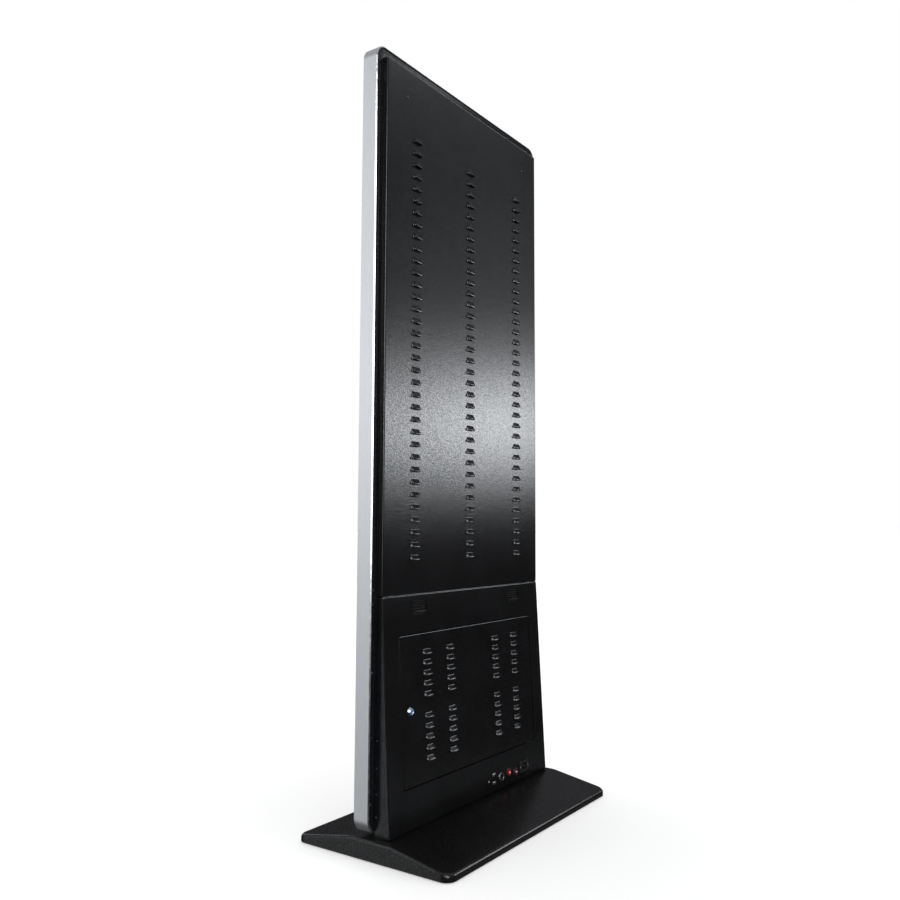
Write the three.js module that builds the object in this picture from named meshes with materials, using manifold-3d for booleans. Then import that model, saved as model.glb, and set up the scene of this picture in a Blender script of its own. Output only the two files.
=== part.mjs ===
// A floor-standing touchscreen kiosk: a slim portrait body with a glass front and louvred steel covers
// behind, standing on a low tent-shaped base.
// Lengths are millimetres. +Z is up, the screen faces -Y and the covers face +Y. The origin is on the
// floor at the centre of the base.

import * as THREE from "three";
import { mergeVertices } from "three/addons/utils/BufferGeometryUtils.js";
import Module from "manifold-3d";

const wasm = await Module();
wasm.setup();

// ---------------------------------------------------------------- driving dimensions

const kioskWidth = 760;
const kioskHeight = 1903;
const sheet = 1.5; // steel sheet of the chassis, covers and door
const rest = 0.3; // clearance between two pieces that rest on each other

const base = { depth: 440, sheet: 2, skirtZ: 2, edgeZ: 17, ridgeZ: 46, ridgeHalfDepth: 58, corner: 25 };
const ballast = { width: 700, depth: 380, bottomZ: 8, thickness: 10 };
const foot = { radius: 18, x: 310, y: 160 };

const band = { depth: 42.5, rearY: -1.5, bottomZ: 54, wall: 3, corner: 34, ledge: 10, ledgeThickness: 2 };
band.frontY = band.rearY - band.depth;
band.height = kioskHeight - band.bottomZ;
band.centreZ = band.bottomZ + band.height / 2;

const glassThickness = 4;
const gasket = { outerInset: 5, innerInset: 11, thickness: 0.6 };
const screen = { width: 703, height: 1232, centreZ: 1232 };
const touchSensor = { frontY: -37.4, thickness: 0.5 };
const lcd = { frontY: -36.6, thickness: 10 };
const backlight = { frontY: -26.3, depth: 14 };

const upright = { width: 36, depth: 17, wall: 2, x: 325, frontY: -6, topZ: 1700 };
const uprightFoot = { width: 60, depth: 90, thickness: 6, solidHeight: 8 };
const rail = { halfWidth: 345, height: 40, depth: 5.7, z: { lower: 700, middle: 1232, upper: 1660 } };
const railGroove = { halfWidth: 300, height: 28, depth: 2.7 };

const cover = { halfWidth: 357.5, topZ: 1872, seamZ: 580, rise: 16.6, corner: 4 };
cover.frontY = band.rearY - sheet - 0.2; // it stands on the chassis flange, inside the band
cover.rearY = cover.frontY + cover.rise;
// The lower cover is deepest at its foot, and its walls start above the rounded corners of the band.
const wedge = { footZ: 47, footRearY: 42.8, cornerRoom: 4 };

const louvre = { width: 34, height: 13.5, rise: 7.5 };
const coverLouvres = { columnX: [-244, -4, 236], bottomZ: 667.5, topZ: 1703, rows: 35 };

// Places on the sloping rear face of the lower cover: x across, and a drop measured down the slope
// from the seam between the two covers.
const door = { halfWidth: 299.5, top: 93.5, bottom: 440.5, flange: 12, gap: 1.5 };
const doorLouvres = { columnX: [-211, -114, 97, 195], drops: [139, 288], rows: 5, pitch: 24.8 };
const hinge = { x: -280, depth: 6, pinRadius: 2, boreRadius: 2.35, bushRadius: 3.2, bushHole: 3.5 };
const hingeBracketHalfWidth = 14;
const lock = { x: 268, drop: 269, faceRadius: 11, bodyRadius: 8, plugRadius: 5.2, rearY: -14 };
const cam = { reach: 38, halfWidth: 7, frontY: -17.1, rearY: -14.6, holeRadius: 3.3 };
const speaker = { x: 218, drop: 31, patchWidth: 70, slots: 6, slotPitch: 6, slotHeight: 2.5 };
const inlet = { x: -233, drop: 499, width: 48, height: 28 };
const rocker = { x: -190, drop: 504, radius: 11.5, barrelRadius: 10.2, paddleRadius: 8, tilt: 8 };
const button = { x: -152, drop: 498, collarRadius: 11, barrelRadius: 9, capRadius: 7.6 };
const jack = { x: -116, drop: 502, radius: 12, barrelRadius: 10 };
const usb = { x: -80, drops: { upper: 488, lower: 509 }, width: 15, height: 7.5 };
const light = { x: -55, drop: 501, radius: 2.5 };

const flangeOpening = { halfWidth: 346, topZ: 1862 };
const flangeScrews = { x: 370.5, bottomZ: 121, topZ: 1813, shankRadius: 1.75, holeRadius: 2.1 };
const coverScrew = { x: 278, z: 1802, shankRadius: 2.2, holeRadius: 2.6 };

const throughSheet = [-3, 1]; // from behind a sheet's outer face at y = 0 to just in front of it
const sheetInnerY = -sheet - rest; // where a piece fixed behind such a sheet begins

const equipment = { halfWidth: 342, bottomZ: 100, topZ: 510 };
const equipmentWindow = { x: 284, halfWidth: 22, bottomZ: 128, topZ: 498 };
const supply = { leftX: -230, rightX: -30, depth: 30, bottomZ: 152, topZ: 252 };
const supplyTerminals = { inset: 5, depth: 18, height: 12 };
const player = { width: 220, height: 140, depth: 21, corner: 6, x: 125, z: 330 };
const circuit = { standoff: 5, thickness: 1.6, postInset: 6, postRadius: 3 };
const circuitConnector = { depth: 7, height: 10 };

// ---------------------------------------------------------------- solids

// A closed geometry as a solid that can be joined and cut.
function toSolid(geometry) {
  const bare = geometry.clone();
  bare.deleteAttribute("normal");
  bare.deleteAttribute("uv");
  const merged = mergeVertices(bare, 1e-4);
  const triVerts = new Uint32Array(merged.index.array);
  const vertProperties = merged.attributes.position.array;
  return new wasm.Manifold(new wasm.Mesh({ numProp: 3, vertProperties, triVerts }));
}

function toGeometry(solid) {
  const { vertProperties, triVerts } = solid.getMesh();
  const geometry = new THREE.BufferGeometry();
  geometry.setAttribute("position", new THREE.BufferAttribute(vertProperties, 3));
  geometry.setIndex(new THREE.BufferAttribute(triVerts, 1));
  geometry.computeVertexNormals();
  return geometry;
}

function join(...geometries) {
  return toGeometry(geometries.map(toSolid).reduce((whole, next) => whole.add(next)));
}

function cut(geometry, ...tools) {
  return toGeometry(tools.map(toSolid).reduce((left, tool) => left.subtract(tool), toSolid(geometry)));
}

function common(first, second) {
  return toGeometry(toSolid(first).intersect(toSolid(second)));
}

function box([left, right], [front, rear], [bottom, top]) {
  const geometry = new THREE.BoxGeometry(right - left, rear - front, top - bottom);
  return geometry.translate((left + right) / 2, (front + rear) / 2, (bottom + top) / 2);
}

// An outline seen from the front, in X and Z, given thickness from frontY back to rearY. Each arc of the
// outline is drawn as twice curveSegments straight steps.
function frontal(outline, frontY, rearY, curveSegments = 3) {
  const settings = { depth: rearY - frontY, bevelEnabled: false, curveSegments };
  return new THREE.ExtrudeGeometry(outline, settings).rotateX(Math.PI / 2).translate(0, rearY, 0);
}

// An outline seen from above, in X and Y, given height.
function upwards(outline, bottomZ, topZ, curveSegments = 3) {
  const settings = { depth: topZ - bottomZ, bevelEnabled: false, curveSegments };
  return new THREE.ExtrudeGeometry(outline, settings).translate(0, 0, bottomZ);
}

// A profile of [y, z] corners drawn out along X.
function sideways(corners, leftX, rightX) {
  const outline = new THREE.Shape(corners.map(([y, z]) => new THREE.Vector2(y, z)));
  const settings = { depth: rightX - leftX, bevelEnabled: false };
  const turn = new THREE.Matrix4().makeBasis(
    new THREE.Vector3(0, 1, 0),
    new THREE.Vector3(0, 0, 1),
    new THREE.Vector3(1, 0, 0),
  );
  return new THREE.ExtrudeGeometry(outline, settings).applyMatrix4(turn).translate(leftX, 0, 0);
}

function rodAlongY(radius, frontY, rearY, x, z, sides = 16) {
  const rod = new THREE.CylinderGeometry(radius, radius, rearY - frontY, sides);
  return rod.translate(x, (frontY + rearY) / 2, z);
}

function rodAlongZ(radius, bottomZ, topZ, x, y, sides = 16) {
  const rod = new THREE.CylinderGeometry(radius, radius, topZ - bottomZ, sides);
  return rod.rotateX(Math.PI / 2).translate(x, y, (bottomZ + topZ) / 2);
}

// A closed [radius, y] profile turned about the Y axis, then moved to x, z.
function turned(profile, x, z, sides = 20) {
  const points = profile.map(([radius, y]) => new THREE.Vector2(radius, y));
  return new THREE.LatheGeometry([...points, points[0].clone()], sides).translate(x, 0, z);
}

function roundedRect(width, height, radius, centreX = 0, centreZ = 0) {
  const x = width / 2 - radius;
  const z = height / 2 - radius;
  const quarter = Math.PI / 2;
  const outline = new THREE.Shape();
  outline.absarc(centreX + x, centreZ - z, radius, -quarter, 0);
  outline.absarc(centreX + x, centreZ + z, radius, 0, quarter);
  outline.absarc(centreX - x, centreZ + z, radius, quarter, 2 * quarter);
  outline.absarc(centreX - x, centreZ - z, radius, 2 * quarter, 3 * quarter);
  return outline;
}

function rectRing(outer, inner) {
  outer.holes.push(inner);
  return outer;
}

function roundCable(radius, places) {
  const path = new THREE.CatmullRomCurve3(places.map((place) => new THREE.Vector3(...place)));
  const section = new THREE.Shape().absarc(0, 0, radius, 0, 2 * Math.PI);
  const settings = { extrudePath: path, steps: 10, bevelEnabled: false, curveSegments: 4 };
  return new THREE.ExtrudeGeometry(section, settings);
}

// ---------------------------------------------------------------- finishes: colour, roughness, metalness

const finishes = {
  blackPaint: [0x1c1c1e, 0.55, 0.2],
  anodised: [0xc9cbce, 0.32, 0.9],
  steel: [0x8d9094, 0.4, 0.9],
  chrome: [0xd8dce0, 0.12, 1.0],
  glass: [0x0a0c10, 0.05, 0.0],
  rubber: [0x141414, 0.9, 0.0],
  darkPlastic: [0x19191b, 0.5, 0.0],
  panelMetal: [0xa9abad, 0.45, 0.8],
  circuit: [0x1d5a36, 0.5, 0.1],
  cone: [0x26262a, 0.8, 0.0],
  red: [0xc8141e, 0.35, 0.0],
  nylon: [0xe6e3da, 0.5, 0.0],
  lamp: [0xd9e6dc, 0.2, 0.0],
};

function piece(name, geometry, finish) {
  const [color, roughness, metalness] = finishes[finish];
  const mesh = new THREE.Mesh(geometry, new THREE.MeshStandardMaterial({ color, roughness, metalness }));
  mesh.name = name;
  return mesh;
}

// ---------------------------------------------------------------- the slope of the lower cover

const slopeDrop = cover.seamZ - wedge.footZ;
const slopeAngle = Math.atan2(wedge.footRearY - cover.rearY, slopeDrop);

// In this group y = 0 is the outer face of the lower cover and z = 0 is the seam, so a drop is -z.
const slope = new THREE.Group();
slope.position.set(0, cover.rearY, cover.seamZ);
slope.rotation.x = slopeAngle;
slope.updateMatrix();

function onSlope(geometry) {
  return geometry.applyMatrix4(slope.matrix);
}

// ---------------------------------------------------------------- base

// The tent section of the base, a given distance inside its outer face.
function baseProfile(inset, bottomZ) {
  const edgeY = base.depth / 2 - inset;
  const ridgeZ = base.ridgeZ - inset;
  const edgeZ = base.edgeZ - inset;
  return [
    [-edgeY, bottomZ],
    [edgeY, bottomZ],
    [edgeY, edgeZ],
    [base.ridgeHalfDepth, ridgeZ],
    [-base.ridgeHalfDepth, ridgeZ],
    [-edgeY, edgeZ],
  ];
}

function tent(inset, bottomZ) {
  const halfWidth = kioskWidth / 2 - inset;
  const plan = roundedRect(2 * halfWidth, base.depth - 2 * inset, base.corner - inset);
  const section = sideways(baseProfile(inset, bottomZ), -halfWidth - 1, halfWidth + 1);
  return common(section, upwards(plan, bottomZ, base.ridgeZ + 1));
}

// Openings that let both uprights through the base cover and the underside of the body.
function uprightSlots(bottomZ, topZ) {
  const side = upright.width / 2 + 0.5;
  const depths = [upright.frontY - 0.5, upright.frontY + upright.depth + 0.5];
  const columns = [-upright.x, upright.x];
  return columns.map((x) => box([x - side, x + side], depths, [bottomZ, topZ]));
}

function baseCover() {
  const slots = uprightSlots(base.ridgeZ - 2 * base.sheet, base.ridgeZ + 1);
  const shell = cut(tent(0, base.skirtZ), tent(base.sheet, base.skirtZ - 1), ...slots);
  return piece("base_cover", shell, "blackPaint");
}

function basePlate() {
  const plan = roundedRect(ballast.width, ballast.depth, base.corner);
  const plate = upwards(plan, ballast.bottomZ, ballast.bottomZ + ballast.thickness);
  return piece("base_plate", plate, "steel");
}

function feet() {
  const sides = { left: -1, right: 1 };
  const ends = { front: -1, rear: 1 };
  const top = ballast.bottomZ - rest;
  const made = [];
  for (const [end, endSign] of Object.entries(ends)) {
    for (const [side, sideSign] of Object.entries(sides)) {
      const pad = rodAlongZ(foot.radius, 0, top, sideSign * foot.x, endSign * foot.y);
      made.push(piece(`foot_${end}_${side}`, pad, "rubber"));
    }
  }
  return made;
}

// ---------------------------------------------------------------- frame

// A square tube with a flat foot that stands on the base plate.
function uprightPiece(name, x) {
  const half = upright.width / 2;
  const bottom = ballast.bottomZ + ballast.thickness + rest;
  const rearY = upright.frontY + upright.depth;
  const { wall, frontY } = upright;
  const { width, depth, thickness, solidHeight } = uprightFoot;
  const tube = box([x - half, x + half], [frontY, rearY], [bottom, upright.topZ]);
  const bore = [x - half + wall, x + half - wall];
  const hollow = box(bore, [frontY + wall, rearY - wall], [bottom + solidHeight, upright.topZ + 1]);
  const plate = box([x - width / 2, x + width / 2], [-depth / 2, depth / 2], [bottom, bottom + thickness]);
  return piece(name, cut(join(tube, plate), hollow), "steel");
}

// A flat bar across the front of the uprights, with a wide groove along its rear.
function crossRail(level) {
  const z = rail.z[level];
  const rearY = upright.frontY - rest;
  const bar = box(
    [-rail.halfWidth, rail.halfWidth],
    [rearY - rail.depth, rearY],
    [z - rail.height / 2, z + rail.height / 2],
  );
  const groove = box(
    [-railGroove.halfWidth, railGroove.halfWidth],
    [rearY - railGroove.depth, rearY + 1],
    [z - railGroove.height / 2, z + railGroove.height / 2],
  );
  return piece(`cross_rail_${level}`, cut(bar, groove), "steel");
}

function bezelFrame() {
  const { wall, corner, ledge, frontY, rearY, height, centreZ } = band;
  const outline = (inset, radius) =>
    roundedRect(kioskWidth - 2 * inset, height - 2 * inset, radius, 0, centreZ);
  const wallRing = frontal(rectRing(outline(0, corner), outline(wall, corner - wall)), frontY, rearY);
  const ledgeFrontY = frontY + glassThickness + 1.5;
  const ledgeRing = rectRing(outline(wall - 0.5, corner - wall), outline(wall + ledge, corner - ledge));
  const ledgeSolid = frontal(ledgeRing, ledgeFrontY, ledgeFrontY + band.ledgeThickness);
  const slots = uprightSlots(band.bottomZ - 1, band.bottomZ + wall + ledge + 1);
  return piece("bezel_frame", cut(join(wallRing, ledgeSolid), ...slots), "anodised");
}

function flangeScrewPlaces() {
  const heights = { top: flangeScrews.topZ, bottom: flangeScrews.bottomZ };
  const sides = { left: -flangeScrews.x, right: flangeScrews.x };
  return Object.entries(heights).flatMap(([end, z]) =>
    Object.entries(sides).map(([side, x]) => ({ name: `flange_screw_${end}_${side}`, x, z })),
  );
}

// The recessed rear flange of the chassis, a flat frame just inside the band. It is open at its foot, where
// the uprights leave the body.
function chassisFlange() {
  const inset = band.wall + rest;
  const rearY = cover.frontY - rest;
  const frontY = rearY - sheet;
  const corner = band.corner - inset;
  const outer = roundedRect(kioskWidth - 2 * inset, band.height - 2 * inset, corner, 0, band.centreZ);
  const { halfWidth, topZ } = flangeOpening;
  const opening = box([-halfWidth, halfWidth], [frontY - 1, rearY + 1], [0, topZ]);
  const holes = flangeScrewPlaces().map(({ x, z }) =>
    rodAlongY(flangeScrews.holeRadius, frontY - 1, rearY + 1, x, z, 10),
  );
  return piece("chassis_flange", cut(frontal(outer, frontY, rearY), opening, ...holes), "blackPaint");
}

function flangeScrewPieces() {
  const faceY = cover.frontY - rest;
  const { shankRadius } = flangeScrews;
  return flangeScrewPlaces().map(({ name, x, z }) => {
    const profile = [
      [0, faceY - 7],
      [shankRadius, faceY - 7],
      [shankRadius, faceY + rest],
      [3.5, faceY + rest],
      [3.1, faceY + 1.3],
      [0, faceY + 1.6],
    ];
    return piece(name, turned(profile, x, z, 12), "steel");
  });
}

// ---------------------------------------------------------------- glass and display

function frontGlass() {
  const inset = band.wall + rest;
  const corner = band.corner - inset;
  const outline = roundedRect(kioskWidth - 2 * inset, band.height - 2 * inset, corner, 0, band.centreZ);
  const frontY = band.frontY + rest;
  return piece("front_glass", frontal(outline, frontY, frontY + glassThickness), "glass");
}

function glassGasket() {
  const frontY = band.frontY + glassThickness + 2 * rest;
  const outline = (inset) =>
    roundedRect(kioskWidth - 2 * inset, band.height - 2 * inset, band.corner - inset, 0, band.centreZ);
  const strip = rectRing(outline(gasket.outerInset), outline(gasket.innerInset));
  return piece("glass_gasket", frontal(strip, frontY, frontY + gasket.thickness), "rubber");
}

// A rectangular layer of the display, centred on the screen.
function screenLayer(width, height, frontY, thickness) {
  return frontal(roundedRect(width, height, 3, 0, screen.centreZ), frontY, frontY + thickness, 1);
}

// A shallow pan behind the panel, open towards it.
function backlightTray() {
  const width = screen.width - 13;
  const height = screen.height - 17;
  const { frontY, depth } = backlight;
  const room = screenLayer(width - 2 * sheet, height - 2 * sheet, frontY - 1, depth + 1 - sheet);
  return piece("backlight_tray", cut(screenLayer(width, height, frontY, depth), room), "panelMetal");
}

function displayLayers() {
  const { width, height } = screen;
  const sensor = screenLayer(width - 3, height + 8, touchSensor.frontY, touchSensor.thickness);
  return [
    piece("touch_sensor", sensor, "glass"),
    piece("lcd_panel", screenLayer(width, height, lcd.frontY, lcd.thickness), "darkPlastic"),
    backlightTray(),
  ];
}

// ---------------------------------------------------------------- covers

// A louvre is a hood that rises from the sheet towards its lower edge, over an open mouth.
function louvreHood(x, z, faceY) {
  const half = louvre.height / 2;
  const profile = [
    [faceY - sheet / 2, z + half],
    [faceY - sheet / 2, z - half],
    [faceY + louvre.rise, z - half],
  ];
  return sideways(profile, x - louvre.width / 2, x + louvre.width / 2);
}

function louvreMouth(x, z, faceY) {
  const half = louvre.height / 2;
  const profile = [
    [faceY - 2 * sheet, z + half - sheet],
    [faceY - 2 * sheet, z - half - rest],
    [faceY + louvre.rise - sheet, z - half - rest],
    [faceY - sheet, z + half - sheet],
  ];
  return sideways(profile, x - louvre.width / 2 + sheet, x + louvre.width / 2 - sheet);
}

function withLouvres(geometry, places, faceY) {
  const hoods = places.map(([x, z]) => louvreHood(x, z, faceY));
  const mouths = places.map(([x, z]) => louvreMouth(x, z, faceY));
  return cut(join(geometry, ...hoods), ...mouths);
}

// A shallow tray, open towards the front and along the seam.
function upperRearCover() {
  const { halfWidth, topZ, frontY, rearY, corner } = cover;
  const bottomZ = cover.seamZ + 1;
  const outline = (inset, lowZ) => {
    const centreZ = (lowZ + topZ - inset) / 2;
    return roundedRect(2 * (halfWidth - inset), topZ - inset - lowZ, corner - inset, 0, centreZ);
  };
  const outer = frontal(outline(0, bottomZ), frontY, rearY, 1);
  const tray = cut(outer, frontal(outline(sheet, bottomZ - 10), frontY - 1, rearY - sheet, 1));
  const { columnX, rows } = coverLouvres;
  const pitch = (coverLouvres.topZ - coverLouvres.bottomZ) / (rows - 1);
  const places = columnX.flatMap((x) =>
    Array.from({ length: rows }, (_, row) => [x, coverLouvres.bottomZ + row * pitch]),
  );
  const holes = [-coverScrew.x, coverScrew.x].map((x) =>
    rodAlongY(coverScrew.holeRadius, rearY - 3, rearY + 1, x, coverScrew.z, 10),
  );
  return piece("upper_rear_cover", cut(withLouvres(tray, places, rearY), ...holes), "blackPaint");
}

function speakerSlots(x) {
  const middle = (speaker.slots - 1) / 2;
  const halfPatch = ((speaker.slots + 0.6) * speaker.slotPitch) / 2;
  return Array.from({ length: speaker.slots }, (_, row) => {
    const offset = (row - middle) * speaker.slotPitch;
    const chord = speaker.patchWidth * Math.sqrt(1 - (offset / halfPatch) ** 2);
    const endRadius = speaker.slotHeight / 2 - 0.05;
    const outline = roundedRect(chord, speaker.slotHeight, endRadius, x, offset - speaker.drop);
    return frontal(outline, ...throughSheet, 1);
  });
}

// Everything cut through the sloping face of the lower cover, in the slope's own frame.
function lowerCoverOpenings() {
  const { halfWidth, top, bottom, gap } = door;
  const doorway = box([-halfWidth - gap, halfWidth + gap], throughSheet, [-bottom - gap, -top + gap]);
  const inletHole = roundedRect(41, 23, 2, inlet.x, -inlet.drop);
  const usbHoles = Object.values(usb.drops).map((drop) => {
    return frontal(roundedRect(usb.width + 0.8, usb.height + 0.8, 1, usb.x, -drop), ...throughSheet, 1);
  });
  return [
    doorway,
    frontal(inletHole, ...throughSheet, 1),
    ...usbHoles,
    rodAlongY(rocker.barrelRadius + rest, ...throughSheet, rocker.x, -rocker.drop),
    rodAlongY(button.barrelRadius + rest, ...throughSheet, button.x, -button.drop),
    rodAlongY(jack.barrelRadius + 0.4, ...throughSheet, jack.x, -jack.drop),
    rodAlongY(light.radius + rest, ...throughSheet, light.x, -light.drop, 10),
    ...speakerSlots(-speaker.x),
    ...speakerSlots(speaker.x),
  ];
}

// A wedge-shaped tray, open towards the front and along the seam. Its foot steps back behind the band.
function lowerRearCover() {
  const { halfWidth, frontY, rearY, seamZ } = cover;
  const { footZ, footRearY } = wedge;
  const stepY = band.rearY + rest;
  const stepZ = band.bottomZ + band.wall + wedge.cornerRoom;
  const outline = [
    [stepY, footZ],
    [footRearY, footZ],
    [rearY, seamZ],
    [frontY, seamZ],
    [frontY, stepZ],
    [stepY, stepZ],
  ];
  const room = [
    [frontY - 1, footZ + sheet],
    [footRearY - sheet, footZ + sheet],
    [rearY - sheet, seamZ + 1],
    [frontY - 1, seamZ + 1],
  ];
  const outer = sideways(outline, -halfWidth, halfWidth);
  const inner = sideways(room, -halfWidth + sheet, halfWidth - sheet);
  const slots = uprightSlots(footZ - 1, footZ + 2 * sheet);
  const openings = lowerCoverOpenings().map(onSlope);
  return piece("lower_rear_cover", cut(outer, inner, ...slots, ...openings), "blackPaint");
}

function coverScrews() {
  const { shankRadius } = coverScrew;
  const profile = [
    [0, cover.rearY - 9],
    [shankRadius, cover.rearY - 9],
    [shankRadius, cover.rearY + rest],
    [4.5, cover.rearY + rest],
    [3.9, cover.rearY + 2],
    [0, cover.rearY + 2.5],
  ];
  const sides = { left: -coverScrew.x, right: coverScrew.x };
  return Object.entries(sides).map(([side, x]) =>
    piece(`cover_screw_${side}`, turned(profile, x, coverScrew.z, 12), "steel"),
  );
}

// ---------------------------------------------------------------- service door, hinges and lock

function serviceDoor() {
  const { halfWidth, top, bottom, flange } = door;
  const tray = cut(
    box([-halfWidth, halfWidth], [-flange, 0], [-bottom, -top]),
    box([-halfWidth + sheet, halfWidth - sheet], [-flange - 1, -sheet], [-bottom + sheet, -top - sheet]),
  );
  const { columnX, drops, rows, pitch } = doorLouvres;
  const places = columnX.flatMap((x) =>
    drops.flatMap((drop) => Array.from({ length: rows }, (_, row) => [x, -drop - row * pitch])),
  );
  const lockHole = rodAlongY(lock.bodyRadius + rest, ...throughSheet, lock.x, -lock.drop, 20);
  const bushHoles = [-top, -bottom].map((z) =>
    rodAlongZ(hinge.bushHole, z - 3, z + 3, hinge.x, -hinge.depth, 16),
  );
  return piece("service_door", cut(withLouvres(tray, places, 0), lockHole, ...bushHoles), "blackPaint");
}

// A stretch of z from near to far beyond the door's top edge (sign 1) or bottom edge (sign -1).
function beyondEdge(edgeZ, sign, near, far) {
  return [edgeZ + sign * near, edgeZ + sign * far].sort((a, b) => a - b);
}

function hingeRod(radius, edgeZ, sign, near, far) {
  return rodAlongZ(radius, ...beyondEdge(edgeZ, sign, near, far), hinge.x, -hinge.depth);
}

// An angle bracket behind the cover, just beyond the door's edge, that holds a pivot pin.
// The sign is 1 for the upper hinge and -1 for the lower one.
function hingeBracket(name, edgeZ, sign) {
  const width = [hinge.x - hingeBracketHalfWidth, hinge.x + hingeBracketHalfWidth];
  const leaf = box(width, [sheetInnerY - sheet, sheetInnerY], beyondEdge(edgeZ, sign, 2, 20));
  const shelf = box(width, [-13, sheetInnerY], beyondEdge(edgeZ, sign, 2, 4));
  const hole = hingeRod(hinge.pinRadius + 0.15, edgeZ, sign, 0, 6);
  return piece(name, cut(join(leaf, shelf), hole), "steel");
}

function hingePin(name, edgeZ, sign) {
  const shank = hingeRod(hinge.pinRadius, edgeZ, sign, -9, 5);
  const head = hingeRod(hinge.pinRadius + 0.4, edgeZ, sign, 4.3, 6);
  return piece(name, join(shank, head), "steel");
}

// A flanged nylon bush in the door's folded edge, which turns on the pin.
function hingeBush(name, edgeZ, sign) {
  const barrel = hingeRod(hinge.bushRadius, edgeZ, sign, -7, -0.2);
  const collar = hingeRod(hinge.bushRadius + 1, edgeZ, sign, -7, -sheet - rest);
  const bore = hingeRod(hinge.boreRadius, edgeZ, sign, -10, 2);
  return piece(name, cut(join(barrel, collar), bore), "nylon");
}

// A threaded body with a chromed face that stands on the door.
function lockBody() {
  const { faceRadius, bodyRadius, plugRadius, rearY } = lock;
  const bore = plugRadius + rest;
  const profile = [
    [bore, rearY],
    [bodyRadius, rearY],
    [bodyRadius, 0.3],
    [faceRadius, 0.3],
    [faceRadius - 0.8, 2.6],
    [bore, 2.8],
  ];
  return piece("lock_body", turned(profile, lock.x, -lock.drop), "chrome");
}

function lockNut() {
  const outline = new THREE.Shape();
  const cornerRadius = 12.2;
  for (let corner = 0; corner < 6; corner++) {
    const angle = (corner * Math.PI) / 3;
    const x = lock.x + cornerRadius * Math.cos(angle);
    const z = -lock.drop + cornerRadius * Math.sin(angle);
    if (corner === 0) outline.moveTo(x, z);
    else outline.lineTo(x, z);
  }
  const hole = rodAlongY(lock.bodyRadius + rest, -8, 0, lock.x, -lock.drop, 20);
  return piece("lock_nut", cut(frontal(outline, sheetInnerY - 4, sheetInnerY), hole), "steel");
}

// The part that the key turns, with a thinner end that carries the cam.
function lockPlug() {
  const barrel = rodAlongY(lock.plugRadius, lock.rearY - rest, 2.3, lock.x, -lock.drop, 20);
  const stub = rodAlongY(cam.holeRadius - rest, -18.5, lock.rearY, lock.x, -lock.drop, 12);
  const keyway = box([lock.x - 0.8, lock.x + 0.8], [-4, 3], [-lock.drop - 3.4, -lock.drop + 3.4]);
  return piece("lock_plug", cut(join(barrel, stub), keyway), "chrome");
}

// The cam points up when the lock is open.
function lockCam() {
  const { x, drop } = lock;
  const { reach, halfWidth, frontY, rearY, holeRadius } = cam;
  const cornerCut = 4;
  const outline = new THREE.Shape();
  outline.absarc(x, -drop, halfWidth, Math.PI, 2 * Math.PI);
  outline.lineTo(x + halfWidth, -drop + reach - cornerCut);
  outline.lineTo(x + halfWidth - cornerCut, -drop + reach);
  outline.lineTo(x - halfWidth + cornerCut, -drop + reach);
  outline.lineTo(x - halfWidth, -drop + reach - cornerCut);
  outline.holes.push(new THREE.Path().absarc(x, -drop, holeRadius, 0, 2 * Math.PI));
  return piece("lock_cam", frontal(outline, frontY, rearY, 7), "steel");
}

// The cam turns behind the free edge of this angle, beside the doorway.
function strikePlate() {
  const left = door.halfWidth + door.gap + 1;
  const halfHeight = 18;
  const heights = [-lock.drop - halfHeight, -lock.drop + halfHeight];
  const leaf = box([left, left + 22], [sheetInnerY - sheet, sheetInnerY], heights);
  const catchWall = box([left, left + 2], [sheetInnerY - 12, sheetInnerY], heights);
  return piece("strike_plate", join(leaf, catchWall), "steel");
}

function hingePieces() {
  const top = -door.top;
  const bottom = -door.bottom;
  return {
    fixed: [
      hingeBracket("hinge_bracket_upper", top, 1),
      hingeBracket("hinge_bracket_lower", bottom, -1),
      hingePin("hinge_pin_upper", top, 1),
      hingePin("hinge_pin_lower", bottom, -1),
    ],
    turning: [hingeBush("hinge_bush_upper", top, 1), hingeBush("hinge_bush_lower", bottom, -1)],
  };
}

// ---------------------------------------------------------------- sockets, switches and speakers

function mainsInlet() {
  const { x, drop, width, height } = inlet;
  const flange = frontal(roundedRect(width, height, 4, x, -drop), 0.3, 2.8, 2);
  const body = frontal(roundedRect(40, 22, 1.5, x, -drop), -24, 0.5, 1);
  const recess = frontal(roundedRect(27, 18, 4, x, -drop), -16, 4, 1);
  const blade = (offset, lift) =>
    box([x + offset - 1, x + offset + 1], [-17, -3], [-drop + lift - 2, -drop + lift + 2]);
  const shell = cut(join(flange, body), recess);
  return piece("mains_inlet", join(shell, blade(-7, -1.5), blade(0, 2), blade(7, -1.5)), "darkPlastic");
}

function rockerHousing() {
  const { x, drop, radius, barrelRadius } = rocker;
  const profile = [
    [0, -15],
    [barrelRadius, -15],
    [barrelRadius, rest],
    [radius, rest],
    [radius - 0.6, 2.2],
    [9.3, 2.4],
    [9.3, -11],
    [0, -11],
  ];
  return piece("rocker_housing", turned(profile, x, -drop), "darkPlastic");
}

// The paddle's face is a shallow V, so one half lies level with the housing when it is tipped.
function rockerPaddle() {
  const half = rocker.paddleRadius + 1;
  const rise = half * Math.tan((rocker.tilt * Math.PI) / 180);
  const veeTop = [
    [-6, -half],
    [4 + rise, -half],
    [4, 0],
    [4 + rise, half],
    [-6, half],
  ];
  const paddle = common(rodAlongY(rocker.paddleRadius, -6, 8, 0, 0, 20), sideways(veeTop, -half, half));
  const mesh = piece("rocker_paddle", paddle, "red");
  mesh.position.set(rocker.x, -1.5, -rocker.drop);
  mesh.rotation.x = (-rocker.tilt * Math.PI) / 180;
  return mesh;
}

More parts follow.
